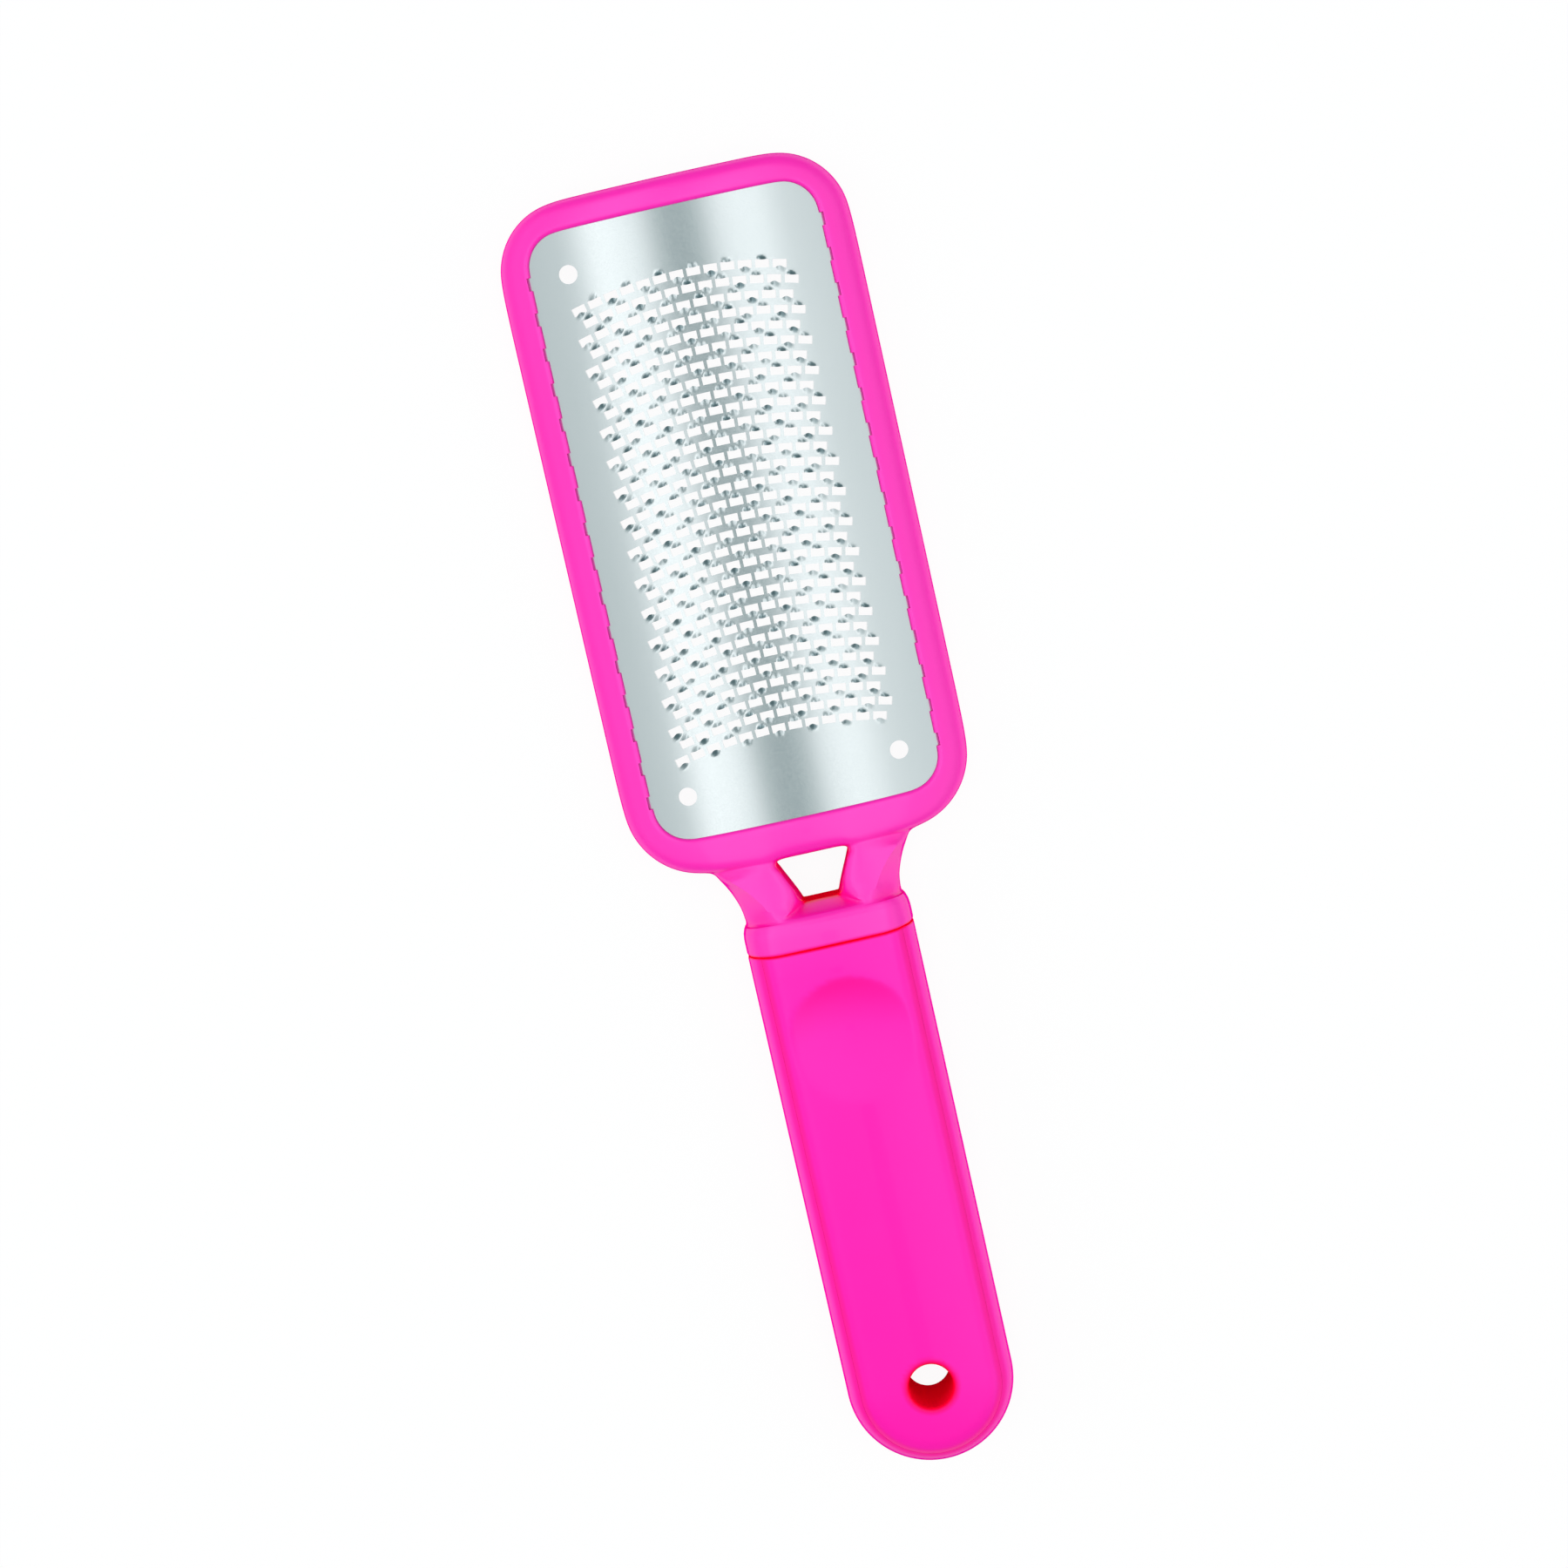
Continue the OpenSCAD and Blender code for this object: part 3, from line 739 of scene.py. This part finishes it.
# %% Struts
STRUT_STEPS = (
    # place along the tool, then x of the inner edge, the face, the ridge and the outer side,
    # then their heights, and the height of the back
    (-5.3, 7.3, 8.7, 18.3, 19.7, 13.7, 14.6, 13.2, 10.2, 4.2),
    (-7.0, 6.65, 8.0, 16.3, 18.6, 13.7, 14.6, 13.7, 9.9, 3.4),
    (-9.2, 5.6, 7.0, 13.9, 17.5, 13.7, 14.65, 14.2, 9.5, 3.1),
    (-12.0, 4.3, 5.7, 11.9, 16.45, 13.9, 14.8, 14.7, 9.8, 3.0),
    (-13.75, 3.6, 5.0, 10.9, 16.1, 10.4, 15.0, 15.0, 10.3, 3.0),
    (-15.9, 8.0, 9.0, 10.0, 16.0, 15.3, 15.5, 15.4, 11.2, 3.0),
)
LAST_STEP = len(STRUT_STEPS)


def strut_place(step, station, row):
    """Where a vertex of the strut's cage lies."""
    y, back = STRUT_STEPS[step - 1][0], STRUT_STEPS[step - 1][-1]
    column = (INNER, FACE, RIDGE, OUTER).index(station)
    x, top = STRUT_STEPS[step - 1][1 + column], STRUT_STEPS[step - 1][5 + column]
    middle = (STRUT_STEPS[step - 1][8] + back) / 2
    return x, y, {TOP_ROW: top, MID_ROW: middle, LOW_ROW: back}[row]


def patch(stations, rows, steps):
    """Faces whose vertices all have one of these stations, rows and steps."""
    return [
        f for f in bm.faces
        if all(v[station_of] in stations and v[row_of] in rows and v[step_of] in steps for v in f.verts)
    ]


def pull_out(faces):
    """Extrudes a patch of faces without leaving the old ones inside; returns new vertices and faces."""
    geom = bmesh.ops.extrude_face_region(bm, geom=faces)["geom"]
    bmesh.ops.delete(bm, geom=[f for f in faces if f.is_valid], context="FACES")
    return new_verts(geom), [g for g in geom if isinstance(g, bmesh.types.BMFace)]


WALL_ROWS = {TOP_ROW, MID_ROW, LOW_ROW}
ends = patch({OUTER, RIDGE, FACE, INNER}, WALL_ROWS, {0})
for step in range(1, LAST_STEP + 1):
    verts, ends = pull_out(ends)
    for v in verts:
        v[step_of] = step
        v.co = strut_place(step, v[station_of], v[row_of])

web_verts = pull_out(patch({INNER}, WALL_ROWS, {LAST_STEP - 1, LAST_STEP}))[0]
for v in web_verts:
    v[station_of] = MIDDLE
    v.co.x = 0


def crease(stations, rows, steps, amount):
    """Creases the edges whose two vertices have these stations, rows and steps."""
    for e in bm.edges:
        if all(v[station_of] in stations and v[row_of] in rows and v[step_of] in steps for v in e.verts):
            e[crease_of] = amount


STRUT = set(range(1, LAST_STEP + 1))
crease({RIDGE}, {TOP_ROW}, STRUT, 0.75)
crease({OUTER}, {TOP_ROW}, STRUT, 0.35)
crease({OUTER}, {LOW_ROW}, STRUT, 0.55)
crease({INNER}, {TOP_ROW}, set(range(1, LAST_STEP - 1)), 0.7)
crease({INNER}, {LOW_ROW}, set(range(1, LAST_STEP)), 0.75)
crease({FACE}, {TOP_ROW}, {LAST_STEP - 1, LAST_STEP}, 0.6)
crease({MIDDLE, INNER}, {TOP_ROW, LOW_ROW}, {LAST_STEP - 1}, 0.8)
crease({INNER}, WALL_ROWS, {LAST_STEP - 1}, 0.75)

# %% [markdown]
# The collar has the handle's own section, so both use one outline: a low crown across the front, round
# long edges and a flat back. The cage comes near it, and once the subdivision is applied, the collar's
# skin is pushed out along rays from the middle until it lies exactly on that outline.

# %% The handle's section
handle_low, handle_high = node_box("handle_back_shell")
handle_x = handle_high.x
seam_y = handle_high.y
handle_top_z = node_box("grip_cover")[1].z
handle_mid_z = handle_top_z / 2
hang_y = handle_low.y + handle_x
BACK_EDGE_R = 6.5
FRONT_EDGE_R = 6.2
CROWN_R = 150.0
SEAM_BOW, SEAM_STRAIGHT, SEAM_POWER = 0.7, 10.5, 1.5
SECTION_STEPS = 40

edge_x = handle_x - FRONT_EDGE_R
crown_y = handle_top_z - CROWN_R
edge_z = crown_y + math.sqrt((CROWN_R - FRONT_EDGE_R) ** 2 - edge_x**2)
edge_start = math.degrees(math.atan2(edge_z - crown_y, edge_x))


def half_section(steps):
    """Right half of the handle's section, from the middle of the front to the middle of the back."""
    points = arc((0, crown_y), CROWN_R, 90, edge_start, steps)
    points += arc((edge_x, edge_z), FRONT_EDGE_R, edge_start, 0, steps)[1:]
    points += arc((handle_x - BACK_EDGE_R, BACK_EDGE_R), BACK_EDGE_R, 0, -90, steps)
    return points + [(0, 0)]


def bearing(x, z):
    """Direction of a point from the middle of the section, from the front round to the back."""
    return math.atan2(abs(x), z - handle_mid_z)


def seam_bow(x):
    """How far the seam between collar and handle climbs towards the head at x."""
    share = max(0, (abs(x) - SEAM_STRAIGHT) / (handle_x - SEAM_STRAIGHT))
    return SEAM_BOW * share**SEAM_POWER


section_rays = [(bearing(x, z), math.hypot(x, z - handle_mid_z)) for x, z in half_section(SECTION_STEPS)]


def reach(x, z):
    """Distance from the middle of the section to its outline, in the direction of a point."""
    turn = bearing(x, z)
    for (turn_a, reach_a), (turn_b, reach_b) in zip(section_rays, section_rays[1:]):
        if turn <= turn_b:
            return reach_a + (reach_b - reach_a) * (turn - turn_a) / max(turn_b - turn_a, 1e-9)
    return section_rays[-1][1]


# %% Collar
COLLAR_FRONT = STRUT_STEPS[-1][0]
COLLAR_END = seam_y + 0.03
COLLAR_RINGS = (
    # place along the tool and inset from the handle's section
    (COLLAR_FRONT - 0.3, 0.85),
    (COLLAR_FRONT - 0.9, 0.48),
    (COLLAR_FRONT - 1.9, 0.15),
    (COLLAR_FRONT - 3.2, 0.0),
    (COLLAR_END + 0.6, 0.0),
    (COLLAR_END + 0.25, 0.1),
    (COLLAR_END, 0.36),
)
COLLAR_SIDE = {MIDDLE: 0, INNER: 4.4, FACE: 8.4, RIDGE: 12.2, OUTER: 15.4}
COLLAR_RISE = {RIDGE: 7.6, OUTER: 6.1}


def collar_place(y, inset, station, row):
    """Where a vertex of the collar's cage lies."""
    x = COLLAR_SIDE[station]
    if row == MID_ROW:
        return (handle_x if station == OUTER else x, y, handle_mid_z)
    z = COLLAR_RISE.get(station, handle_mid_z)
    z = handle_mid_z + (z if row == TOP_ROW else -z)
    share = (reach(x, z) - inset) / math.hypot(x, z - handle_mid_z)
    return x * share, y, handle_mid_z + (z - handle_mid_z) * share


ends = patch({OUTER, RIDGE, FACE, INNER, MIDDLE}, WALL_ROWS, {LAST_STEP})
for ring, (y, inset) in enumerate(COLLAR_RINGS):
    verts, ends = pull_out(ends)
    for v in verts:
        v[step_of] = LAST_STEP + 1 + ring
        v.co = collar_place(y, inset, v[station_of], v[row_of])
halfway = [f for f in bm.faces if all(v[station_of] == MIDDLE for v in f.verts)]
bmesh.ops.delete(bm, geom=halfway, context="FACES")
last_ring = LAST_STEP + len(COLLAR_RINGS)
crease(set(COLLAR_SIDE), WALL_ROWS, {last_ring}, 0.9)

# %% Mirror, subdivide and push the collar onto the section
bmesh.ops.mirror(bm, geom=bm.verts[:] + bm.edges[:] + bm.faces[:], axis="X", merge_dist=WELD)
bmesh.ops.recalc_face_normals(bm, faces=bm.faces[:])
open_edges = sum(not e.is_manifold for e in bm.edges)
print("frame cage:", len(bm.faces), "faces,", open_edges, "open edges")
head_frame = draft("moulded_frame", bm)
smooth = head_frame.modifiers.new("smooth", "SUBSURF")
smooth.levels = smooth.render_levels = 2
apply_modifiers(head_frame)


def ring_inset(y):
    """How far inside the handle's section the collar's skin lies at y."""
    for (y_a, inset_a), (y_b, inset_b) in zip(COLLAR_RINGS, COLLAR_RINGS[1:]):
        if y_b <= y <= y_a:
            return inset_a + (inset_b - inset_a) * (y_a - y) / (y_a - y_b)
    return COLLAR_RINGS[0][1]


PUSH_FROM, PUSH_TO = COLLAR_END + 0.05, COLLAR_FRONT - 0.4
BOW_REACH = 2
for v in head_frame.data.vertices:
    if PUSH_FROM < v.co.y < PUSH_TO:
        share = (reach(v.co.x, v.co.z) - ring_inset(v.co.y)) / math.hypot(v.co.x, v.co.z - handle_mid_z)
        v.co.x *= share
        v.co.z = handle_mid_z + (v.co.z - handle_mid_z) * share
    if v.co.y < COLLAR_END + BOW_REACH:
        v.co.y += seam_bow(v.co.x) * (COLLAR_END + BOW_REACH - v.co.y) / BOW_REACH
    v.co.z = max(0, v.co.z)

# %% [markdown]
# The small notches along the window are probably where pins held the sheet down while the plastic flowed
# round it. They are cut from the finished mesh, because extra lines in the cage would spoil its soft
# forms. The tang and the spigot are hidden in the handle. They are plain bodies that share the frame's
# mesh, as they would share its mould.

# %% Hold-down notches
NOTCH_N, NOTCH_PITCH = 16, 7.02
NOTCH_L, NOTCH_D = 2.6, 0.6
bm = bmesh.new()
notch_size = Matrix.Diagonal((2 * NOTCH_D, NOTCH_L, CROWN_Z, 1))
first_notch_y = (window_top_y + window_low_y) / 2 - (NOTCH_N - 1) / 2 * NOTCH_PITCH
notch_z = front_z(window_x) - LIP_T - PLATE_T / 2 + CROWN_Z / 2
for x in (-window_x, window_x):
    for k in range(NOTCH_N):
        place = Matrix.Translation((x, first_notch_y + k * NOTCH_PITCH, notch_z))
        bmesh.ops.create_cube(bm, size=1, matrix=place @ notch_size)
carve(head_frame, bm)

# %% Tang and spigot
WALL_T, DECK_T, GRIP_T, FIT_GAP = 2.2, 3.0, 3.0, 0.1
TANG_W, TANG_T, TANG_BEVEL, SPIGOT_L = 18.0, 5.0, 0.5, 4.0
SCREW_HOLE_R = 1.6
SINK = 1.0
THROUGH_Z = 20.0
FINE_STEPS, SCREW_STEPS, PILOT_STEPS = 64, 32, 24
grip_floor_z = handle_top_z - GRIP_T
deck_low_z = grip_floor_z - DECK_T
tang_low_z = deck_low_z - TANG_T
tang_end_y = head_low.y
screw_places = {}
for node in ("tang_screw_upper", "tang_screw_lower", "butt_screw"):
    low, high = node_box(node)
    screw_places[node] = (low.y + high.y) / 2


def block(bm, low, high):
    """A box between two corners."""
    low, high = Vector(low), Vector(high)
    size = Matrix.Diagonal((*(high - low), 1))
    return bmesh.ops.create_cube(bm, size=1, matrix=Matrix.Translation((low + high) / 2) @ size)["verts"]


def spin_round(bm, geom, place, steps):
    """Spins a profile a full turn about the upright axis at a place along the tool."""
    bmesh.ops.spin(
        bm, geom=geom, cent=(0, place, 0), axis=(0, 0, 1), angle=2 * math.pi, steps=steps,
        use_merge=True,
    )


def bored(bm, profile, place, steps):
    """Adds a closed body of revolution on an upright axis, its profile running from axis to axis."""
    verts, edges = chain(bm, [(r, place, z) for r, z in profile])
    spin_round(bm, verts + edges, place, steps)
    near = [v for v in bm.verts if math.hypot(v.co.x, v.co.y - place) < WELD / 2]
    bmesh.ops.remove_doubles(bm, verts=near, dist=WELD)


bm = bmesh.new()
block(bm, (-TANG_W / 2, tang_end_y, tang_low_z), (TANG_W / 2, seam_y + SINK, deck_low_z))
bmesh.ops.bevel(bm, geom=bm.edges[:], offset=TANG_BEVEL, segments=2, affect="EDGES", profile=0.5)
tang = draft("tang", bm)
bm = bmesh.new()
hole = [(0, 0), (SCREW_HOLE_R, 0), (SCREW_HOLE_R, THROUGH_Z), (0, THROUGH_Z)]
for node in ("tang_screw_upper", "tang_screw_lower"):
    bored(bm, hole, screw_places[node], SCREW_STEPS)
carve(tang, bm)

spigot_r = BACK_EDGE_R - WALL_T - FIT_GAP
spigot_x = handle_x - WALL_T - FIT_GAP
profile = [(0, deck_low_z), (spigot_x, deck_low_z)]
profile += arc((spigot_x - spigot_r, WALL_T + FIT_GAP + spigot_r), spigot_r, 0, -90, 8)
profile += [(-x, z) for x, z in reversed(profile[1:])]
bm = bmesh.new()
rim = [bm.verts.new((x, seam_y + SINK, z)) for x, z in profile]
base = bmesh.ops.contextual_create(bm, geom=rim)["faces"]
for v in new_verts(bmesh.ops.extrude_face_region(bm, geom=base)["geom"]):
    v.co.y = seam_y - SPIGOT_L
bmesh.ops.recalc_face_normals(bm, faces=bm.faces[:])
spigot = draft("spigot", bm)

bm = bmesh.new()
for part in (head_frame, tang, spigot):
    bm.from_mesh(part.data)
bm.to_mesh(head_frame.data)
bm.free()
for part in (tang, spigot):
    bpy.data.objects.remove(part)

# %% [markdown]
# Light that goes back and forth between two pink walls ends up red. The renderer needs many bounces to
# find that, and an exported model has none at all. So the red is written into the mesh by place: in the
# neck window and in the seam, and none on the lip round the plate, which the steel lights.

# %% Where light bounces red
SEAM_RED = 0.6
GAP_LOW_Y, GAP_HIGH_Y, WEB_NEAR_Y = -14.2, neck_y + 0.3, -12.9
GAP_HALF_X, GAP_MID_Y, GAP_FLARE = 7.5, -5.4, 0.41
GAP_RED, WEB_RED = 0.45, 1.4
LIP_NEAR, LIP_UNDER, LIP_FADE = 1.0, 0.1, -0.6


def mark_bounced(piece, rule):
    """Writes the painted bounce light and shade at each vertex, as the rule finds it from place and
    normal.
    """
    bounced = piece.data.attributes.new("bounced", "FLOAT", "POINT")
    for v in piece.data.vertices:
        bounced.data[v.index].value = rule(v.co, v.normal)


def seam_red(co, joint_y):
    """Red in the fine V of the seam."""
    return max(0, 1 - abs(co.y - seam_bow(co.x) - joint_y) / SEAM_RED)


def frame_rule(co, normal):
    """Red in the gap between the struts and in the seam, none on the lip around the plate."""
    x, y = abs(co.x), co.y
    if GAP_LOW_Y < y < GAP_HIGH_Y and x < GAP_HALF_X + (y - GAP_MID_Y) * GAP_FLARE:
        return min(1.0, (WEB_RED if y < WEB_NEAR_Y else GAP_RED) * (1 - normal.z))
    on_lip = window_low_y - LIP_NEAR < y < window_top_y + LIP_NEAR and x < window_x + LIP_NEAR
    if on_lip and co.z > front_z(x) - LIP_T - LIP_UNDER:
        return LIP_FADE
    return seam_red(co, seam_y)


mark_bounced(head_frame, frame_rule)
finish_piece(head_frame, "head_frame", frame_pink)

# %% [markdown]
# ## Handle
# Three pieces share one way of building: half of their section is spun half a turn round the butt, about
# the hanging hole, and both of its ends are then drawn straight up to the seam. The last ring before the
# seam is drawn in a little, so that the joint with the collar shows as a fine V.


# %% The handle's builders
def skin_z(x):
    """Height of the handle's front at x, crown and rounded edge."""
    if x <= edge_x:
        return crown_y + math.sqrt(CROWN_R**2 - x * x)
    return edge_z + math.sqrt(max(0, FRONT_EDGE_R**2 - (x - edge_x) ** 2))


SEAM_DEPTH = ((0.6, 0), (0.25, 0.1), (0, 0.34))
SEAM_ZONE = 1
SKIN_T = 0.75
BUTT_STEPS = 48


def round_the_butt(profile, lines):
    """A half section, from axis to axis, spun round the butt and drawn straight to the seam."""
    bm = bmesh.new()
    verts, edges = chain(bm, [(x, hang_y, z) for x, z in profile])
    last = bmesh.ops.spin(
        bm, geom=verts + edges, cent=(0, hang_y, 0), axis=(0, 0, 1),
        angle=-math.pi, steps=BUTT_STEPS, use_merge=False,
    )["geom_last"]
    stops = [(y, 0) for y in lines] + [(seam_y - before, inset) for before, inset in SEAM_DEPTH]
    for side in (verts + edges, last):
        for y, inset in stops:
            side = bmesh.ops.extrude_edge_only(
                bm, edges=[g for g in side if isinstance(g, bmesh.types.BMEdge)]
            )["geom"]
            fresh = set(new_verts(side))
            side = [g for g in side if isinstance(g, bmesh.types.BMEdge) and set(g.verts) <= fresh]
            for v in fresh:
                v.co.y = y
                far = math.hypot(v.co.x, v.co.z - handle_mid_z)
                if inset and far > reach(v.co.x, v.co.z) - SKIN_T:
                    v.co.x *= 1 - inset / far
                    v.co.z -= (v.co.z - handle_mid_z) * inset / far
                v.co.y += seam_bow(v.co.x) if y > seam_y - SEAM_ZONE else 0
    bmesh.ops.remove_doubles(bm, verts=bm.verts[:], dist=WELD)
    bmesh.ops.edgeloop_fill(bm, edges=[e for e in bm.edges if e.is_boundary])
    bmesh.ops.recalc_face_normals(bm, faces=bm.faces[:])
    return bm


def tube(bm, inner, outer, low, high, place, steps):
    """Adds an upright tube: a ring of four points, spun once round its axis."""
    profile = [(inner, low), (outer, low), (outer, high), (inner, high)]
    verts, edges = chain(bm, [(r, place, z) for r, z in profile])
    edges.append(bm.edges.new((verts[-1], verts[0])))
    spin_round(bm, verts + edges, place, steps)


HANG_R, HANG_WALL = 4.5, 2.0
HOLE_FRONT_R, HOLE_BACK_R = 1.0, 0.5
HOLE_OVER, HOLE_FLARE, HOLE_RIM_TURN = 0.45, 2.2, 102
SCREW_SEAT_R, SCREW_HEAD_T, BOSS_R = 2.95, 1.4, 3.5
PILOT_TOP_Z, SEAT_CUT_Z = 4, 5
screw_low, screw_high = node_box("butt_screw")
RIB_T = WALL_T / 2
OVER, OVERLAP = 1.0, 0.05
SHELL_LINES = (-90, -60, -35)
front_rim_x, back_rim_x = HANG_R + HOLE_FRONT_R, HANG_R + HOLE_BACK_R


def hole_cutter():
    """A bmesh of the hanging hole with its rounded rims, as a closed body."""
    high = handle_top_z + HOLE_OVER
    profile = [(0, -OVER), (back_rim_x + 3 * OVER, -OVER), (back_rim_x + OVER, -OVERLAP)]
    profile += arc((back_rim_x, HOLE_BACK_R), HOLE_BACK_R, -HOLE_RIM_TURN, -180, 6)
    profile += arc((front_rim_x, handle_top_z - HOLE_FRONT_R), HOLE_FRONT_R, 180, HOLE_RIM_TURN, 8)
    profile += [(front_rim_x + HOLE_FLARE, high), (0, high)]
    cutter = bmesh.new()
    bored(cutter, profile, hang_y, FINE_STEPS)
    return cutter


GROOVE_X = 14.45
# painted shade: a soft darker band along the groove, and a darker head side in the dimple
GROOVE_SHADE, GROOVE_NEAR = 0.3, 1.25
DIMPLE_R, DIMPLE_FROM_SEAM, DIMPLE_SHADE = 12.6, 19.3, 1.35
HOLE_RED_T, HOLE_RED_FADE = 0.6, 1.5
dimple_y = seam_y - DIMPLE_FROM_SEAM


def handle_rule(co, normal):
    """Painted bounce light in the hole and the seam; painted shade in the groove and on the dimple's head
    side.
    """
    y_away = min(0, co.y - hang_y)
    from_axis = math.hypot(co.x, co.y - hang_y)
    inside = front_rim_x + HOLE_RED_T - from_axis
    if inside > 0:
        return min(1.0, inside / HOLE_RED_FADE)
    off_groove = abs(math.hypot(co.x, y_away) - GROOVE_X)
    groove = GROOVE_SHADE * max(0, 1 - (off_groove / GROOVE_NEAR) ** 2) if co.z > edge_z else 0
    in_dimple = co.z > grip_floor_z and math.hypot(co.x, co.y - dimple_y) < DIMPLE_R
    dimple = DIMPLE_SHADE * max(0, -normal.y) if in_dimple else 0
    return max(groove, dimple, seam_red(co, seam_y))


# %% [markdown]
# The shells meet halfway up the sides, at a fine parting line. The back one is a tray with the tube of the
# hanging hole, a boss for each screw and two ribs beside the tang. Those only have to stand in its floor,
# so they are added to its mesh as closed bodies.

# %% Back shell
PARTING_CUT = 0.14
parting_z = handle_mid_z
wall_x = handle_x - WALL_T
back_centre = (handle_x - BACK_EDGE_R, BACK_EDGE_R)
profile = [(0, 0)] + arc(back_centre, BACK_EDGE_R, -90, 0, 12)
profile += [(handle_x, parting_z - 2 * PARTING_CUT), (handle_x - PARTING_CUT, parting_z)]
profile += [(wall_x, parting_z)] + arc(back_centre, BACK_EDGE_R - WALL_T, 0, -90, 8) + [(0, WALL_T)]
back_shell = draft("handle_shell_back", round_the_butt(profile, SHELL_LINES))
carve(back_shell, hole_cutter())
bm = bmesh.new()
pilot_low_z = screw_low.z - FIT_GAP
pilot = [(0, pilot_low_z), (SCREW_HOLE_R, pilot_low_z), (SCREW_HOLE_R, PILOT_TOP_Z), (0, PILOT_TOP_Z)]
for y in screw_places.values():
    bored(bm, pilot, y, PILOT_STEPS)
carve(back_shell, bm)

bm = bmesh.new()
bm.from_mesh(back_shell.data)
inner_z = WALL_T - OVERLAP
tube(bm, HANG_R, HANG_R + HANG_WALL, inner_z, grip_floor_z, hang_y, FINE_STEPS)
for node, y in screw_places.items():
    boss_high_z = deck_low_z if node == "butt_screw" else tang_low_z
    tube(bm, SCREW_HOLE_R, BOSS_R, inner_z, boss_high_z, y, SCREW_STEPS)
rib_top_y = seam_y - SPIGOT_L - RIB_T
for side in (-1, 1):
    x = side * (TANG_W / 2 + FIT_GAP + RIB_T / 2)
    block(bm, (x - RIB_T / 2, tang_end_y, inner_z), (x + RIB_T / 2, rib_top_y, handle_mid_z))
bmesh.ops.recalc_face_normals(bm, faces=bm.faces[:])
bm.to_mesh(back_shell.data)
bm.free()
mark_bounced(back_shell, handle_rule)
finish_piece(back_shell, "handle_back_shell", handle_pink)

# %% [markdown]
# The front shell is the pink rim round the grip cover, and the deck beneath it that takes the screws. Its
# profile runs from the deck up the outer side of the groove, over the long edge and back inside.

# %% Front shell
GROOVE_HALF = 0.015
GROOVE_RIM = ((1.3, 0), (0.9, 0.04), (0.5, 0.12), (0.15, 0.2), (GROOVE_HALF, 0.22))
profile = [(0, grip_floor_z), (GROOVE_X + GROOVE_HALF, grip_floor_z)]
profile += [(GROOVE_X + away, skin_z(GROOVE_X + away) - deep) for away, deep in reversed(GROOVE_RIM)]
rim_start = math.degrees(math.acos((GROOVE_X + GROOVE_RIM[0][0] - edge_x) / FRONT_EDGE_R))
profile += arc((edge_x, edge_z), FRONT_EDGE_R, rim_start, 0, 8)[1:]
profile += [(handle_x, parting_z + 2 * PARTING_CUT), (handle_x - PARTING_CUT, parting_z)]
profile += [(wall_x, parting_z), (wall_x, deck_low_z), (0, deck_low_z)]
front_shell = draft("handle_shell_front", round_the_butt(profile, SHELL_LINES))
bm = bmesh.new()
tube_r = HANG_R + HANG_WALL + FIT_GAP
bored(bm, [(0, 0), (tube_r, 0), (tube_r, THROUGH_Z), (0, THROUGH_Z)], hang_y, FINE_STEPS)
seat_z = screw_high.z - SCREW_HEAD_T
seat = [(0, SEAT_CUT_Z), (SCREW_HOLE_R, SEAT_CUT_Z), (SCREW_HOLE_R, seat_z)]
seat += [(SCREW_SEAT_R, seat_z), (SCREW_SEAT_R, THROUGH_Z), (0, THROUGH_Z)]
for y in screw_places.values():
    bored(bm, seat, y, SCREW_STEPS)
carve(front_shell, bm)
mark_bounced(front_shell, handle_rule)
finish_piece(front_shell, "handle_front_shell", handle_pink)

# %% [markdown]
# The grip cover is the face that the hand feels. Its thumb dimple could be cut with a ball, but a cut
# leaves a sharp rim. So the cover has fine lines there, and its vertices are sunk by a formula that fades
# softly at the rim and goes deeper on the head side.

# %% Grip cover with the thumb dimple
FINE = 0.8
COVER_LIFT, COVER_EDGE = 0.02, 0.5
DIMPLE_DEPTH, DIMPLE_SOFT, DIMPLE_TILT, DIMPLE_MARGIN = 1.1, 0.05, 0.35, 2
cover_floor_z = grip_floor_z + COVER_LIFT
groove_start = GROOVE_X - GROOVE_RIM[0][0]
across_n = math.ceil(groove_start / FINE)
profile = [(groove_start * i / across_n, skin_z(groove_start * i / across_n)) for i in range(across_n + 1)]
profile += [(GROOVE_X - away, skin_z(GROOVE_X - away) - deep) for away, deep in GROOVE_RIM[1:]]
profile += [(GROOVE_X - GROOVE_HALF, cover_floor_z), (0, cover_floor_z)]
fine_from = dimple_y - DIMPLE_R - DIMPLE_MARGIN
fine_to = dimple_y + DIMPLE_R + DIMPLE_MARGIN
hole_end_y = hang_y + front_rim_x + OVER
lines = even(hang_y, hole_end_y, 8) + even(hole_end_y, fine_from, 6)
lines += even(fine_from, fine_to, math.ceil((fine_to - fine_from) / FINE))
bm = round_the_butt(profile, lines)
for v in bm.verts:
    if v.co.z > grip_floor_z + COVER_EDGE and fine_from < v.co.y < fine_to:
        along = (v.co.y - dimple_y) / DIMPLE_R
        level = 1 - (v.co.x / DIMPLE_R) ** 2 - along**2
        steep = 1 + DIMPLE_TILT * max(-1, min(1, along))
        v.co.z -= steep * DIMPLE_DEPTH * (level + math.sqrt(level**2 + DIMPLE_SOFT**2)) / 2
grip_cover = draft("soft_grip_cover", bm)
carve(grip_cover, hole_cutter())
mark_bounced(grip_cover, handle_rule)
finish_piece(grip_cover, "grip_cover", grip_pink)

# %% [markdown]
# ## Screws
# The screws lie hidden under the grip cover, so they keep the solids of the imported model and only get
# their zinc.

# %% Screws
for node in screw_places:
    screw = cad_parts[node]
    screw.data.materials.clear()
    screw.data.materials.append(screw_zinc)
